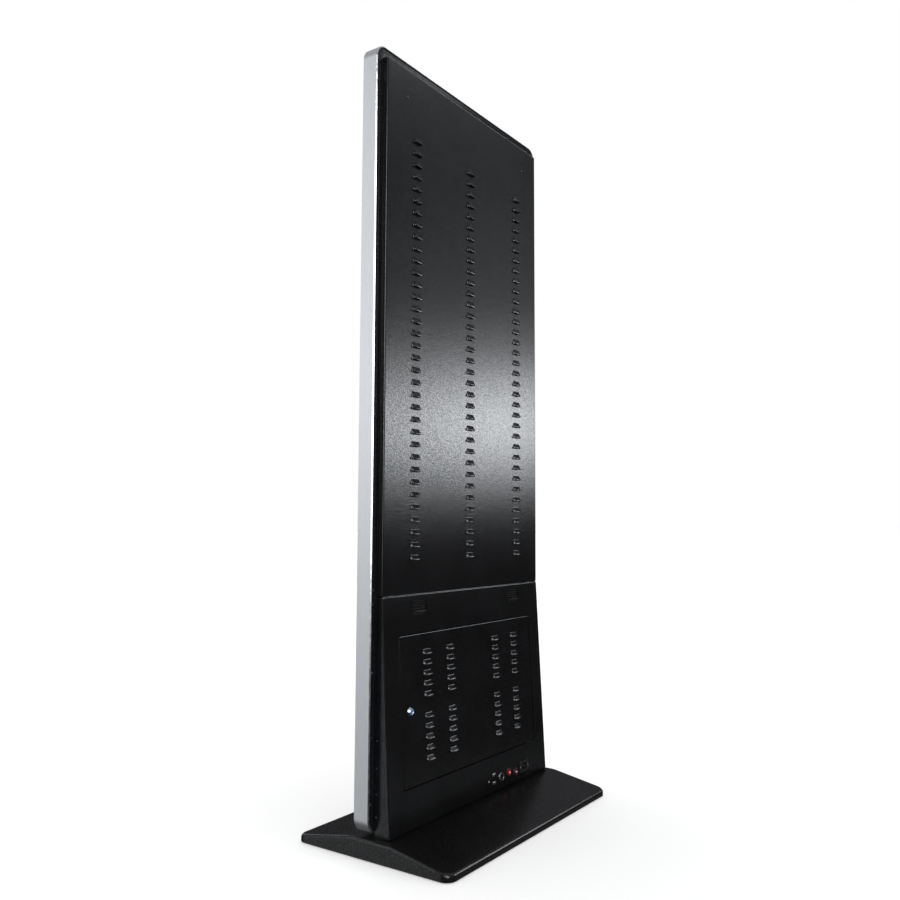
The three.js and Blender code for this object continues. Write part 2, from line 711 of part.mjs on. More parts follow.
function buttonCollar() {
  const { x, drop, collarRadius, barrelRadius, capRadius } = button;
  const bore = capRadius + rest;
  const profile = [
    [0, -18],
    [barrelRadius, -18],
    [barrelRadius, rest],
    [collarRadius, rest],
    [collarRadius - 0.8, 2],
    [bore, 2.2],
    [bore, -15],
    [0, -15],
  ];
  return piece("button_collar", turned(profile, x, -drop), "darkPlastic");
}

function pushButton() {
  const { x, drop, capRadius } = button;
  const profile = [
    [0, -11],
    [capRadius, -11],
    [capRadius, 4.6],
    [capRadius - 0.8, 5.4],
    [0, 5.8],
  ];
  return piece("push_button", turned(profile, x, -drop), "red");
}

function networkJack() {
  const { x, drop, radius, barrelRadius } = jack;
  const insertRadius = 8;
  const collarBore = insertRadius + rest;
  const collarProfile = [
    [collarBore, -4],
    [barrelRadius, -4],
    [barrelRadius, rest],
    [radius, rest],
    [radius - 0.7, 2.4],
    [collarBore, 2.4],
  ];
  const insert = rodAlongY(insertRadius, -20, 1.4, x, -drop);
  const mouth = box([x - 5.9, x + 5.9], [-14, 2], [-drop - 4, -drop + 3]);
  const tabSlot = box([x - 2, x + 2], [-14, 2], [-drop + 2, -drop + 5]);
  return [
    piece("network_jack_collar", turned(collarProfile, x, -drop), "chrome"),
    piece("network_jack", cut(insert, mouth, tabSlot), "darkPlastic"),
  ];
}

function usbSocket(name, drop) {
  const { x, width, height } = usb;
  const shell = frontal(roundedRect(width, height, 0.8, x, -drop), -17, 0.8, 1);
  const mouth = frontal(roundedRect(width - 1.6, height - 1.6, 0.5, x, -drop), -14, 2, 1);
  const tongue = box([x - 5.6, x + 5.6], [-15, -1.5], [-drop + 0.3, -drop + 2.1]);
  return piece(name, join(cut(shell, mouth), tongue), "steel");
}

function statusLight() {
  const { x, drop, radius } = light;
  const profile = [
    [0, -7],
    [radius, -7],
    [radius, 0.6],
    [radius * 0.7, 1.5],
    [0, 1.9],
  ];
  return piece("status_light", turned(profile, x, -drop, 12), "lamp");
}

function speakerPieces(side, x) {
  const basket = [
    [24, -3.6],
    [27, -3.6],
    [27, -1.9],
    [23, -1.9],
    [23, -3.2],
    [12, -13],
    [0, -13],
    [0, -27],
    [17, -27],
    [17, -15],
    [13, -15],
  ];
  const cone = [
    [0, -12.6],
    [11, -12.6],
    [22.6, -3.2],
    [22.6, -2.2],
    [8, -11],
    [0, -11],
  ];
  return [
    piece(`speaker_basket_${side}`, turned(basket, x, -speaker.drop, 16), "steel"),
    piece(`speaker_cone_${side}`, turned(cone, x, -speaker.drop, 16), "cone"),
  ];
}

// ---------------------------------------------------------------- electronics behind the door

const boardY = upright.frontY - rest; // rear face of the equipment plate

function equipmentPlate() {
  const { halfWidth, bottomZ, topZ } = equipment;
  const plate = box([-halfWidth, halfWidth], [boardY - sheet, boardY], [bottomZ, topZ]);
  const windows = [-equipmentWindow.x, equipmentWindow.x].map((x) =>
    box(
      [x - equipmentWindow.halfWidth, x + equipmentWindow.halfWidth],
      [boardY - 2 * sheet, boardY + 1],
      [equipmentWindow.bottomZ, equipmentWindow.topZ],
    ),
  );
  return piece("equipment_plate", cut(plate, ...windows), "panelMetal");
}

function powerSupply() {
  const frontY = boardY + rest;
  const rearY = frontY + supply.depth;
  const { leftX, rightX, bottomZ, topZ } = supply;
  const { inset, depth, height } = supplyTerminals;
  const shell = box([leftX, rightX], [frontY, rearY], [bottomZ, topZ]);
  const width = [leftX + inset, rightX - inset];
  const terminals = box(width, [rearY - depth, rearY + 1], [bottomZ - 1, bottomZ + height]);
  return piece("power_supply", cut(shell, terminals), "panelMetal");
}

function mediaPlayer() {
  const frontY = boardY + rest;
  const { width, height, depth, corner, x, z } = player;
  const shell = frontal(roundedRect(width, height, corner, x, z), frontY, frontY + depth, 1);
  return piece("media_player", shell, "darkPlastic");
}

function circuitBoard(name, width, height, x, z) {
  const frontY = boardY + rest;
  const [left, right] = [x - width / 2, x + width / 2];
  const [bottom, top] = [z - height / 2, z + height / 2];
  const { standoff, thickness, postInset, postRadius } = circuit;
  const faceY = frontY + standoff + thickness;
  const board = box([left, right], [frontY + standoff, faceY], [bottom, top]);
  const posts = [left + postInset, right - postInset].flatMap((postX) =>
    [bottom + postInset, top - postInset].map((postZ) =>
      rodAlongY(postRadius, frontY, faceY - thickness / 2, postX, postZ, 8),
    ),
  );
  const edgeZ = bottom + 4;
  const connector = box(
    [x - width / 5, x + width / 5],
    [faceY - thickness / 2, faceY + circuitConnector.depth],
    [edgeZ, edgeZ + circuitConnector.height],
  );
  return piece(name, join(board, ...posts, connector), "circuit");
}

function mainsCable() {
  const places = [
    [inlet.x, 13, 84],
    [inlet.x + 6, 5, 92],
    [-200, 3, 118],
    [-152, 9, 132],
    [-132, 13, 159],
  ];
  return piece("mains_cable", roundCable(3.2, places), "rubber");
}

function displayCable() {
  const places = [
    [-140, 5, 440],
    [-140, 1, 480],
    [-140, -1, 530],
    [-140, -9, 575],
    [-140, -19, 611],
  ];
  return piece("display_cable", roundCable(3, places), "rubber");
}

// ---------------------------------------------------------------- the kiosk

const kiosk = new THREE.Group();
const hinges = hingePieces();

kiosk.add(
  baseCover(),
  basePlate(),
  ...feet(),
  uprightPiece("upright_left", -upright.x),
  uprightPiece("upright_right", upright.x),
  crossRail("lower"),
  crossRail("middle"),
  crossRail("upper"),
  bezelFrame(),
  chassisFlange(),
  ...flangeScrewPieces(),
  frontGlass(),
  glassGasket(),
  ...displayLayers(),
  upperRearCover(),
  ...coverScrews(),
  lowerRearCover(),
  equipmentPlate(),
  powerSupply(),
  mediaPlayer(),
  circuitBoard("display_driver_board", 170, 110, -130, 345),
  circuitBoard("touch_controller_board", 90, 46, 120, 445),
  mainsCable(),
  displayCable(),
  slope,
);

slope.add(
  serviceDoor(),
  ...hinges.fixed,
  ...hinges.turning,
  lockBody(),
  lockNut(),
  lockPlug(),
  lockCam(),
  strikePlate(),
  ...speakerPieces("left", -speaker.x),
  ...speakerPieces("right", speaker.x),
  mainsInlet(),
  rockerHousing(),
  rockerPaddle(),
  buttonCollar(),
  pushButton(),
  ...networkJack(),
  usbSocket("usb_socket_upper", usb.drops.upper),
  usbSocket("usb_socket_lower", usb.drops.lower),
  statusLight(),
);

export default kiosk;
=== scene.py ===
"""Looks of a floor-standing touchscreen kiosk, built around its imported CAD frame.

Lengths are millimetres and MM turns them into Blender's metres. The screen faces -Y, the louvred rear
covers face +Y and +Z is up.
"""

import math

import bmesh
import bpy
from mathutils import Matrix, Vector


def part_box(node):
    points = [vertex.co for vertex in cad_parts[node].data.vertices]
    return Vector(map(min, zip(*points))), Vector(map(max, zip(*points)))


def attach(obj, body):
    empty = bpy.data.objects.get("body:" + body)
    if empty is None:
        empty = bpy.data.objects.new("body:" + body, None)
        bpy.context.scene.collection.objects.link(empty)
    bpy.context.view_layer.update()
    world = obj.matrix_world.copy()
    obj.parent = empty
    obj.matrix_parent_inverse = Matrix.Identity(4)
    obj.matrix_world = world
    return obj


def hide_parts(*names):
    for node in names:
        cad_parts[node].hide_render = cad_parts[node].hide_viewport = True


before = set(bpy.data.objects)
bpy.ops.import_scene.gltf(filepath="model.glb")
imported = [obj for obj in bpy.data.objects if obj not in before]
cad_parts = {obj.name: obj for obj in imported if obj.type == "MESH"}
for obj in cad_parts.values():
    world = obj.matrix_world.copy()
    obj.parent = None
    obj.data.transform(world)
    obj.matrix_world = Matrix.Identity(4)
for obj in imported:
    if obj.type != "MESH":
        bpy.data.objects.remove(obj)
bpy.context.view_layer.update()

MM = 0.001


# ---------------------------------------------------------------- places taken from the frame


def node_box(name):
    """Lowest and highest corner of a CAD node, in millimetres."""
    low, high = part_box(name)
    return low / MM, high / MM


def node_middle(name):
    low, high = node_box(name)
    return (low + high) / 2


upper_low, upper_high = node_box("upper_rear_cover")
lower_low, lower_high = node_box("lower_rear_cover")
band_low, band_high = node_box("bezel_frame")
base_low, base_high = node_box("base_cover")
flange_low, flange_high = node_box("chassis_flange")

SHEET = 1.5
FOLD = 2.4
COVER_FOLD = 3.6
BAND = {"corner": 34.0, "wall": 3.0, "ledge": 10.0, "ledge_front": 5.5, "ledge_rear": 7.5, "bright": 2.3}
BASE = {"sheet": 2.0, "ridge": 46.0, "edge": 17.0, "ridge_half": 58.0, "bend": 7.0, "corner": 25.0}
LOUVRE = {"width": 34.0, "height": 13.5, "rise": 7.5}
# Screw rows of the chassis flange: down both sides, and along its top.
FLANGE_SCREWS = {"side": 370.5, "top_row": 1888.0, "across": (-228, -74, 80, 232)}
FLANGE_SCREWS["heights"] = [1813 - 202.8 * row for row in range(7)] + [565, 411, 267, 121]
WALL_SCREWS = {"heights": (259.0, 198.0, 141.0, 91.0), "setback": 6.0}
UPRIGHT_SLOT = {"half": 18.5, "front": -6.5, "rear": 11.5}
# Cutting tools reach from behind a sheet to in front of it.
THROUGH = (-4, 3)

COVER_FRONT_Y = upper_low.y
COVER_HALF = upper_high.x
COVER_REAR_Y = upper_high.y - LOUVRE["rise"]
SEAM_Z = lower_high.z
COVER_LOUVRES = {"columns": (-244, -4, 236), "bottom": 667.5, "top": 1703, "rows": 35}

# The lower cover leans: places on its face are an x and a drop measured down the face from the seam.
FACE_FOOT = Vector((0, lower_high.y, lower_low.z))
FACE_TOP = Vector((0, COVER_REAR_Y, SEAM_Z))
LEAN = math.atan2(FACE_FOOT.y - FACE_TOP.y, FACE_TOP.z - FACE_FOOT.z)
FACE_LENGTH = (FACE_TOP - FACE_FOOT).length

DOOR = {"half": 299.5, "top": 93.5, "bottom": 440.5, "depth": 12.0, "gap": 1.5}
DOOR_LOUVRES = {"columns": (-211, -114, 97, 195), "drops": (139, 288), "rows": 5, "pitch": 24.8}
LOCK = {"x": 268, "drop": 269, "face": 11.0, "body": 8.0, "plug": 5.2, "stand": 5.5}
SPEAKER = {"x": 218, "drop": 31, "width": 70.0, "slots": 6, "pitch": 6.0, "height": 2.5}
INLET = {"x": -233, "drop": 499}
ROCKER = {"x": -190, "drop": 504, "radius": 11.5, "paddle": 8.0, "tilt": 8.0}
BUTTON = {"x": -152, "drop": 498, "collar": 11.0, "cap": 7.6}
JACK = {"x": -116, "drop": 502, "radius": 12.0}
USB = {"x": -80, "drops": (488, 509), "width": 15.0, "height": 7.5}
LAMP = {"x": -55, "drop": 501, "radius": 2.5}


def upright_place(x, y, z):
    """A point given in the kiosk's own frame."""
    return Vector((x, y, z))


def slope_place(x, y, z):
    """A point given on the leaning lower face: y stands off the face and z is minus the drop."""
    return Vector(
        (
            x,
            FACE_TOP.y + y * math.cos(LEAN) - z * math.sin(LEAN),
            FACE_TOP.z + y * math.sin(LEAN) + z * math.cos(LEAN),
        )
    )


# ---------------------------------------------------------------- materials


class Nodes:
    """A node tree with short ways to add and link nodes. Patterns use places in metres."""

    def __init__(self, tree, place):
        self.tree = tree
        self.place = self.node("ShaderNodeTexCoord").outputs[place]

    def node(self, kind, inputs=None, **properties):
        made = self.tree.nodes.new(kind)
        for name, value in properties.items():
            setattr(made, name, value)
        for name, value in (inputs or {}).items():
            self.feed(made.inputs[name], value)
        return made

    def feed(self, socket, value):
        if isinstance(value, bpy.types.NodeSocket):
            self.tree.links.new(value, socket)
        elif socket.type == "RGBA" and len(value) == 3:
            socket.default_value = (*value, 1.0)
        else:
            socket.default_value = value

    def show(self, shader):
        output = next(node for node in self.tree.nodes if node.type.startswith("OUTPUT"))
        self.feed(output.inputs["Surface"], shader)

    def axes(self):
        return self.node("ShaderNodeSeparateXYZ", {"Vector": self.place}).outputs

    def stretched(self, x, y, z):
        mapping = self.node("ShaderNodeMapping", {"Vector": self.place, "Scale": (x, y, z)})
        return mapping.outputs["Vector"]

    def noise(self, scale, detail=2.0, vector=None):
        inputs = {"Vector": vector or self.place, "Scale": scale, "Detail": detail}
        return self.node("ShaderNodeTexNoise", inputs).outputs["Fac"]

    def cells(self, scale, feature="F1", vector=None, output="Distance"):
        inputs = {"Vector": vector or self.place, "Scale": scale}
        return self.node("ShaderNodeTexVoronoi", inputs, feature=feature).outputs[output]

    def ramp(self, factor, *stops):
        made = self.node("ShaderNodeValToRGB", {"Fac": factor})
        elements = made.color_ramp.elements
        while len(elements) < len(stops):
            elements.new(0.5)
        for element, (position, colour) in zip(elements, stops):
            element.position = position
            element.color = (*colour, 1.0) if isinstance(colour, tuple) else (colour, colour, colour, 1.0)
        return made.outputs["Color"]

    def math(self, operation, first, second=0.0):
        made = self.node("ShaderNodeMath", operation=operation)
        self.feed(made.inputs[0], first)
        self.feed(made.inputs[1], second)
        return made.outputs[0]

    def mix(self, factor, first, second):
        made = self.node("ShaderNodeMix", data_type="RGBA")
        colours = [socket for socket in made.inputs if socket.type == "RGBA"]
        self.feed(made.inputs[0], factor)
        self.feed(colours[0], first)
        self.feed(colours[1], second)
        return [socket for socket in made.outputs if socket.type == "RGBA"][0]

    def bump(self, height, strength, depth, normal=None):
        inputs = {"Height": height, "Strength": strength, "Distance": depth * MM}
        if normal is not None:
            inputs["Normal"] = normal
        return self.node("ShaderNodeBump", inputs).outputs["Normal"]


class Paint(Nodes):
    """A new material. Its settings are inputs of the principled shader."""

    def __init__(self, name, place="Object", **settings):
        self.material = bpy.data.materials.new(name)
        self.material.use_nodes = True
        super().__init__(self.material.node_tree, place)
        self.shader = self.tree.nodes["Principled BSDF"]
        self.set(**settings)

    def set(self, **settings):
        for name, value in settings.items():
            self.feed(self.shader.inputs[name.replace("_", " ").title().replace("Ior", "IOR")], value)


def powder_coat(name, dark, light, roughness, grain):
    """Black baked powder paint: a glossy skin with the fine orange peel that breaks up highlights."""
    paint = Paint(name)
    tone = paint.noise(9.0, 4.0)
    paint.set(base_color=paint.ramp(tone, (0.35, dark), (0.7, light)))
    speckle = paint.noise(700.0, 1.0)
    low, high = roughness
    paint.set(roughness=paint.ramp(speckle, (0.35, low), (0.7, high)))
    sparkle = paint.noise(390.0, 1.0)
    paint.set(specular_ior_level=paint.ramp(sparkle, (0.36, 0.22), (0.64, 0.80)))
    peel = paint.bump(paint.noise(330.0, 1.0), grain, 0.35)
    paint.set(normal=paint.bump(paint.noise(1100.0, 1.0), grain, 0.05, peel))
    return paint.material


def satin_aluminium():
    """Anodised aluminium with a fine grain along the band."""
    paint = Paint("satin_aluminium", metallic=1.0)
    grain = paint.noise(60.0, 3.0, paint.stretched(14.0, 14.0, 0.6))
    paint.set(base_color=paint.ramp(grain, (0.3, (0.70, 0.71, 0.725)), (0.7, (0.78, 0.79, 0.80))))
    blast = paint.noise(1800.0, 1.0)
    paint.set(roughness=paint.ramp(blast, (0.3, 0.34), (0.7, 0.46)))
    paint.set(normal=paint.bump(blast, 0.12, 0.02))
    return paint.material


def bright_metal(name, colour, roughness, scratch=0.10, metallic=1.0):
    """Polished or plated metal with faint smears and hairlines."""
    paint = Paint(name, metallic=metallic)
    smear = paint.noise(90.0, 4.0)
    tint = tuple(channel * 0.86 for channel in colour)
    paint.set(base_color=paint.ramp(smear, (0.3, tint), (0.7, colour)))
    paint.set(roughness=paint.ramp(smear, (0.35, roughness), (0.75, roughness * 1.7)))
    lines = paint.noise(900.0, 2.0, paint.stretched(1.0, 1.0, 0.12))
    paint.set(normal=paint.bump(lines, scratch, 0.02))
    return paint.material


def zinc_plate():
    """Galvanised sheet with a soft spangle."""
    paint = Paint("zinc_plate", metallic=0.9)
    spangle = paint.cells(110.0, output="Color")
    grey = paint.node("ShaderNodeSeparateColor", {"Color": spangle}).outputs["Red"]
    paint.set(base_color=paint.ramp(grey, (0.1, (0.44, 0.45, 0.46)), (0.9, (0.50, 0.51, 0.52))))
    paint.set(roughness=paint.ramp(grey, (0.1, 0.38), (0.9, 0.44)))
    paint.set(normal=paint.bump(paint.noise(500.0, 2.0), 0.15, 0.03))
    return paint.material


def moulded_plastic(name, dark, light, roughness=0.42, grain=0.35):
    """Injection-moulded plastic with a fine spark-eroded texture."""
    paint = Paint(name)
    tone = paint.noise(30.0, 3.0)
    paint.set(base_color=paint.ramp(tone, (0.3, dark), (0.7, light)))
    texture = paint.cells(2200.0)
    paint.set(roughness=paint.ramp(tone, (0.3, roughness - 0.06), (0.7, roughness + 0.08)))
    paint.set(normal=paint.bump(texture, grain, 0.03))
    return paint.material


def clear_red(name, depth, glow):
    """Translucent red plastic of the push button and the rocker."""
    paint = Paint(name, roughness=0.2, coat_weight=0.3, coat_roughness=0.12)
    tone = paint.noise(260.0, 2.0)
    colour = paint.ramp(tone, (0.3, (0.7 * depth, 0.006, 0.008)), (0.7, (depth, 0.012, 0.014)))
    paint.set(base_color=colour, emission_color=colour, emission_strength=glow)
    paint.set(normal=paint.bump(paint.noise(500.0, 1.0), 0.05, 0.02))
    return paint.material


def lit_core(name, colour, strength):
    """A small lens with a lamp behind it."""
    paint = Paint(name, roughness=0.12, coat_weight=0.5, emission_strength=strength)
    tone = paint.noise(500.0, 1.0)
    dim = tuple(channel * 0.75 for channel in colour)
    shade = paint.ramp(tone, (0.3, dim), (0.7, colour))
    paint.set(base_color=shade, emission_color=shade)
    return paint.material


def soft_rubber():
    paint = Paint("soft_rubber")
    tone = paint.noise(120.0, 3.0)
    paint.set(base_color=paint.ramp(tone, (0.3, (0.010, 0.010, 0.010)), (0.75, (0.022, 0.021, 0.020))))
    paint.set(roughness=paint.ramp(tone, (0.3, 0.62), (0.7, 0.85)))
    paint.set(normal=paint.bump(paint.noise(1400.0, 2.0), 0.4, 0.05))
    return paint.material


def cable_jacket(name, dark, light):
    paint = Paint(name)
    wave = paint.noise(400.0, 2.0, paint.stretched(1.0, 1.0, 0.25))
    paint.set(base_color=paint.ramp(wave, (0.3, dark), (0.7, light)))
    paint.set(roughness=paint.ramp(wave, (0.3, 0.38), (0.7, 0.55)))
    paint.set(normal=paint.bump(wave, 0.2, 0.04))
    return paint.material


def circuit_mask():
    """Green solder mask over copper tracks."""
    paint = Paint("circuit_mask", coat_weight=0.35, coat_roughness=0.2)
    tones = {"Color1": (0, 0, 0), "Color2": (0, 0, 0), "Mortar": (1, 1, 1)}
    layout = {"Vector": paint.stretched(1.0, 0.0, 1.0), "Scale": 90.0, "Mortar Size": 0.09}
    tracks = paint.node("ShaderNodeTexBrick", {**layout, **tones}).outputs["Color"]
    vias = paint.ramp(paint.cells(260.0), (0.10, 1.0), (0.16, 0.0))
    mask = paint.mix(tracks, (0.010, 0.075, 0.030), (0.022, 0.135, 0.055))
    paint.set(base_color=paint.mix(vias, mask, (0.55, 0.42, 0.16)))
    paint.set(roughness=paint.ramp(paint.noise(300.0), (0.3, 0.28), (0.7, 0.42)))
    paint.set(normal=paint.bump(tracks, 0.3, 0.04))
    return paint.material


def paper_cone():
    paint = Paint("paper_cone", roughness=0.85)
    fibre = paint.noise(700.0, 5.0)
    paint.set(base_color=paint.ramp(fibre, (0.3, (0.012, 0.012, 0.013)), (0.7, (0.035, 0.034, 0.034))))
    paint.set(normal=paint.bump(fibre, 0.5, 0.08))
    return paint.material


def printed_glass(window_half, window_low, window_high):
    """Toughened glass: black print round the edge and a dark clear window over the display."""
    paint = Paint("printed_glass", ior=1.5)
    axes = paint.axes()
    across = paint.math("ABSOLUTE", axes["X"])
    inside_x = paint.math("LESS_THAN", across, window_half * MM)
    above = paint.math("GREATER_THAN", axes["Z"], window_low * MM)
    below = paint.math("LESS_THAN", axes["Z"], window_high * MM)
    window = paint.math("MULTIPLY", inside_x, paint.math("MULTIPLY", above, below))
    print_tone = paint.ramp(paint.noise(40.0, 3.0), (0.3, 0.0035), (0.7, 0.0055))
    smudge = paint.noise(7.0, 5.0)
    glow = paint.ramp(smudge, (0.3, (0.010, 0.012, 0.016)), (0.7, (0.014, 0.016, 0.021)))
    paint.set(base_color=paint.mix(window, print_tone, glow))
    paint.set(roughness=paint.ramp(smudge, (0.4, 0.03), (0.8, 0.075)))
    paint.set(alpha=paint.math("SUBTRACT", 1.0, paint.math("MULTIPLY", window, 0.25)))
    paint.set(normal=paint.bump(paint.noise(3.0, 1.0), 0.02, 0.4))
    return paint.material


def display_face():
    """A switched-off display: nearly black with a faint stripe of pixels."""
    paint = Paint("display_face", coat_weight=0.4)
    rows = paint.noise(900.0, 1.0, paint.stretched(1.0, 1.0, 0.05))
    paint.set(base_color=paint.ramp(rows, (0.3, (0.006, 0.007, 0.010)), (0.7, (0.012, 0.013, 0.018))))
    paint.set(roughness=paint.ramp(rows, (0.3, 0.3), (0.7, 0.4)))
    return paint.material


FRAME_DARK, FRAME_LIGHT = (0.0035, 0.0042, 0.0052), (0.0060, 0.0070, 0.0085)
COAT = powder_coat("black_powder_coat", (0.0030, 0.0031, 0.0034), (0.0050, 0.0052, 0.0057), (0.12, 0.20), 0.7)
BASE_COAT = powder_coat("base_powder_coat", (0.0026,) * 3, (0.0040,) * 3, (0.24, 0.32), 0.3)
FRAME_COAT = powder_coat("frame_powder_coat", FRAME_DARK, FRAME_LIGHT, (0.22, 0.32), 0.3)
ALUMINIUM = satin_aluminium()
BRIGHT_EDGE = bright_metal("bright_edge", (0.93, 0.94, 0.95), 0.16)
CHROME = bright_metal("chrome_plate", (0.88, 0.90, 0.93), 0.06, 0.03)
# chrome tinted blue: a painted reflection of bluish light, used on the lock's face and plug
CHROME_WITH_PAINTED_BLUE_REFLECTION = bright_metal("chrome_with_painted_blue_reflection", (0.22, 0.46, 0.80), 0.2, 0.03, 0.55)
STEEL = bright_metal("bare_steel", (0.50, 0.50, 0.51), 0.30)
SCREW_BLACK = bright_metal("blackened_screw", (0.16, 0.16, 0.17), 0.26)
ZINC = zinc_plate()
SOCKET_SHELL = bright_metal("socket_shell_metal", (0.66, 0.66, 0.64), 0.22)
BLACK_PLASTIC = moulded_plastic("black_moulding", (0.008, 0.008, 0.009), (0.014, 0.014, 0.015))
GREY_PLASTIC = moulded_plastic("grey_moulding", (0.030, 0.031, 0.034), (0.045, 0.046, 0.050))
NYLON = moulded_plastic("natural_nylon", (0.62, 0.60, 0.54), (0.72, 0.70, 0.64), 0.5, 0.15)
WHITE_INK = moulded_plastic("white_ink", (0.70, 0.71, 0.72), (0.82, 0.83, 0.84), 0.45, 0.05)
RUBBER = soft_rubber()
JACKET = cable_jacket("black_jacket", (0.010, 0.010, 0.010), (0.022, 0.022, 0.022))
RED_JACKET = cable_jacket("red_jacket", (0.28, 0.012, 0.010), (0.40, 0.020, 0.016))
GREY_JACKET = cable_jacket("grey_jacket", (0.16, 0.16, 0.17), (0.24, 0.24, 0.25))
CIRCUIT = circuit_mask()
CONE = paper_cone()
RED = clear_red("clear_red", 0.30, 0.08)
DARK_RED = clear_red("dark_red", 0.07, 0.0)
RED_LIGHT = lit_core("red_light", (0.85, 0.22, 0.22), 0.9)
LAMP_LENS = lit_core("lamp_lens", (0.30, 0.32, 0.31), 0.02)
GLASS = printed_glass(351.5, 616.0, 1848.0)
DISPLAY = display_face()
GOLD = bright_metal("gold_contact", (0.80, 0.58, 0.25), 0.2)


# ---------------------------------------------------------------- meshes


def new_piece(name, points, faces, material, body="kiosk", place=upright_place, replaces=()):
    """A mesh piece from points in millimetres, which place puts where they belong."""
    mesh = bpy.data.meshes.new(name)
    mesh.from_pydata([place(*point) * MM for point in points], [], faces)
    mesh.materials.append(material)
    mesh.validate()
    obj = bpy.data.objects.new(name, mesh)
    bpy.context.scene.collection.objects.link(obj)
    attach(obj, body)
    if replaces:
        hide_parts(*replaces)
    smooth(obj)
    return obj


def smooth(obj, degrees=32):
    """Rounds the shading inside each face group, weighted so that large flat faces stay flat."""
    obj.data.shade_smooth()
    obj.data.set_sharp_from_angle(angle=math.radians(degrees))
    if "shading" not in obj.modifiers:
        shading = obj.modifiers.new("shading", "WEIGHTED_NORMAL")
        shading.keep_sharp = True
        shading.weight = 100


def settle(obj, degrees=32):
    """Makes a piece's modifiers permanent."""
    if "shading" in obj.modifiers:
        obj.modifiers.remove(obj.modifiers["shading"])
    shown = obj.evaluated_get(bpy.context.evaluated_depsgraph_get())
    mesh = bpy.data.meshes.new_from_object(shown)
    obj.modifiers.clear()
    obj.data = mesh
    smooth(obj, degrees)
    return obj


def thicken(obj, thickness):
    """Gives an open sheet its thickness, inwards from its outer face."""
    solid = obj.modifiers.new("thickness", "SOLIDIFY")
    solid.thickness = thickness * MM
    solid.offset = -1.0
    solid.use_even_offset = True
    return settle(obj)


def loft(rings, capped=True):
    """A skin over rings of points, as (points, faces). A ring of one point is a tip."""
    points, faces, rows = [], [], []
    for ring in rings:
        rows.append(range(len(points), len(points) + len(ring)))
        points += ring
    for first, second in zip(rows, rows[1:]):
        count = max(len(first), len(second))
        for step in range(count):
            pairs = ((first, step), (second, step), (second, step + 1), (first, step + 1))
            faces.append(tuple(dict.fromkeys(row[number % len(row)] for row, number in pairs)))
    if capped:
        faces += [tuple(row) for row in (rows[0], rows[-1]) if len(row) > 1]
    return points, faces


def lathe_parts(profile, x, z, sides=32, flats=None):
    """A profile of (radius, y), from the rear face inwards, turned about the Y axis at x, z. flats gives the
    number of flats of a profile row that is not round."""
    rings = []
    for index, (radius, y) in enumerate(profile):
        if radius == 0:
            rings.append([(x, y, z)])
            continue
        part = 2 * math.pi / flats[index] if flats and index in flats else None
        ring = []
        for step in range(sides):
            angle = 2 * math.pi * step / sides
            reach = radius * math.cos(part / 2) / math.cos(angle % part - part / 2) if part else radius
            ring.append((x + reach * math.cos(angle), y, z + reach * math.sin(angle)))
        rings.append(ring)
    return loft(rings, capped=False)


def lathe(name, profile, x, z, material, body="kiosk", sides=40, replaces=()):
    """A turned piece on the leaning lower face."""
    return gather(name, [lathe_parts(profile, x, z, sides)], material, body, slope_place, replaces)


def outward(obj):
    """Turns every closed shell's faces to the outside."""
    work = bmesh.new()
    work.from_mesh(obj.data)
    bmesh.ops.recalc_face_normals(work, faces=work.faces)
    work.to_mesh(obj.data)
    work.free()


def gather(name, parts, material, body="kiosk", place=upright_place, replaces=(), sharp=32):
    """One piece from several closed parts, each given as (points, faces)."""
    points, faces = [], []
    for part_points, part_faces in parts:
        start = len(points)
        points += part_points
        faces += [tuple(index + start for index in face) for face in part_faces]
    obj = new_piece(name, points, faces, material, body, place, replaces)
    outward(obj)
    smooth(obj, sharp)
    return obj


def block(xs, ys, zs, edge=0.5):
    """A box with its edges cut back, as (points, faces)."""
    work = bmesh.new()
    bmesh.ops.create_cube(work, size=1.0)
    for vert in work.verts:
        vert.co = [low + (high - low) * (part + 0.5) for part, (low, high) in zip(vert.co, (xs, ys, zs))]
    if edge:
        shape = {"segments": 2, "profile": 0.5, "affect": "EDGES", "clamp_overlap": True}
        bmesh.ops.bevel(work, geom=list(work.edges), offset=edge, **shape)
    work.verts.index_update()
    points = [tuple(vert.co) for vert in work.verts]
    faces = [tuple(vert.index for vert in face.verts) for face in work.faces]
    work.free()
    return points, faces


def prism(outline, *levels):
    """An outline in x and z drawn out along y, as (points, faces)."""
    return loft([[(x, y, z) for x, z in outline] for y in levels])


def taper(narrow, wide, levels):
    """A plug that is narrow between the first two levels of y and wide between the last two."""
    outlines = (narrow, narrow, wide, wide)
    return loft([[(x, y, z) for x, z in outline] for outline, y in zip(outlines, levels)])


def corner_turns(width, height, radius, x, z, steps):
    """The centre of each corner's arc in a rounded rectangle, with the direction of each of its steps."""
    for quarter, (side, end) in enumerate(((1, -1), (1, 1), (-1, 1), (-1, -1))):
        centre = (x + side * (width / 2 - radius), z + end * (height / 2 - radius))
        for step in range(steps + 1):
            angle = math.pi / 2 * (quarter - 1 + step / steps)
            yield centre, math.cos(angle), math.sin(angle)


def rounded_outline(width, height, radius, x=0.0, z=0.0, steps=4):
    """Corners of a rounded rectangle, counter-clockwise."""
    turns = corner_turns(width, height, radius, x, z, steps)
    return [(centre[0] + radius * across, centre[1] + radius * up) for centre, across, up in turns]


def circle_outline(radius, x=0.0, z=0.0, sides=32):
    angles = [2 * math.pi * step / sides for step in range(sides)]
    return [(x + radius * math.cos(angle), z + radius * math.sin(angle)) for angle in angles]


def carve(obj, parts, place):
    """Cuts closed parts out of a piece."""
    cutter = gather("cutter", parts, COAT, place=place)
    boolean = obj.modifiers.new("openings", "BOOLEAN")
    boolean.operation = "DIFFERENCE"
    boolean.solver = "EXACT"
    boolean.object = cutter
    settle(obj)
    bpy.data.objects.remove(cutter)
    return obj


# ---------------------------------------------------------------- folded sheet panels


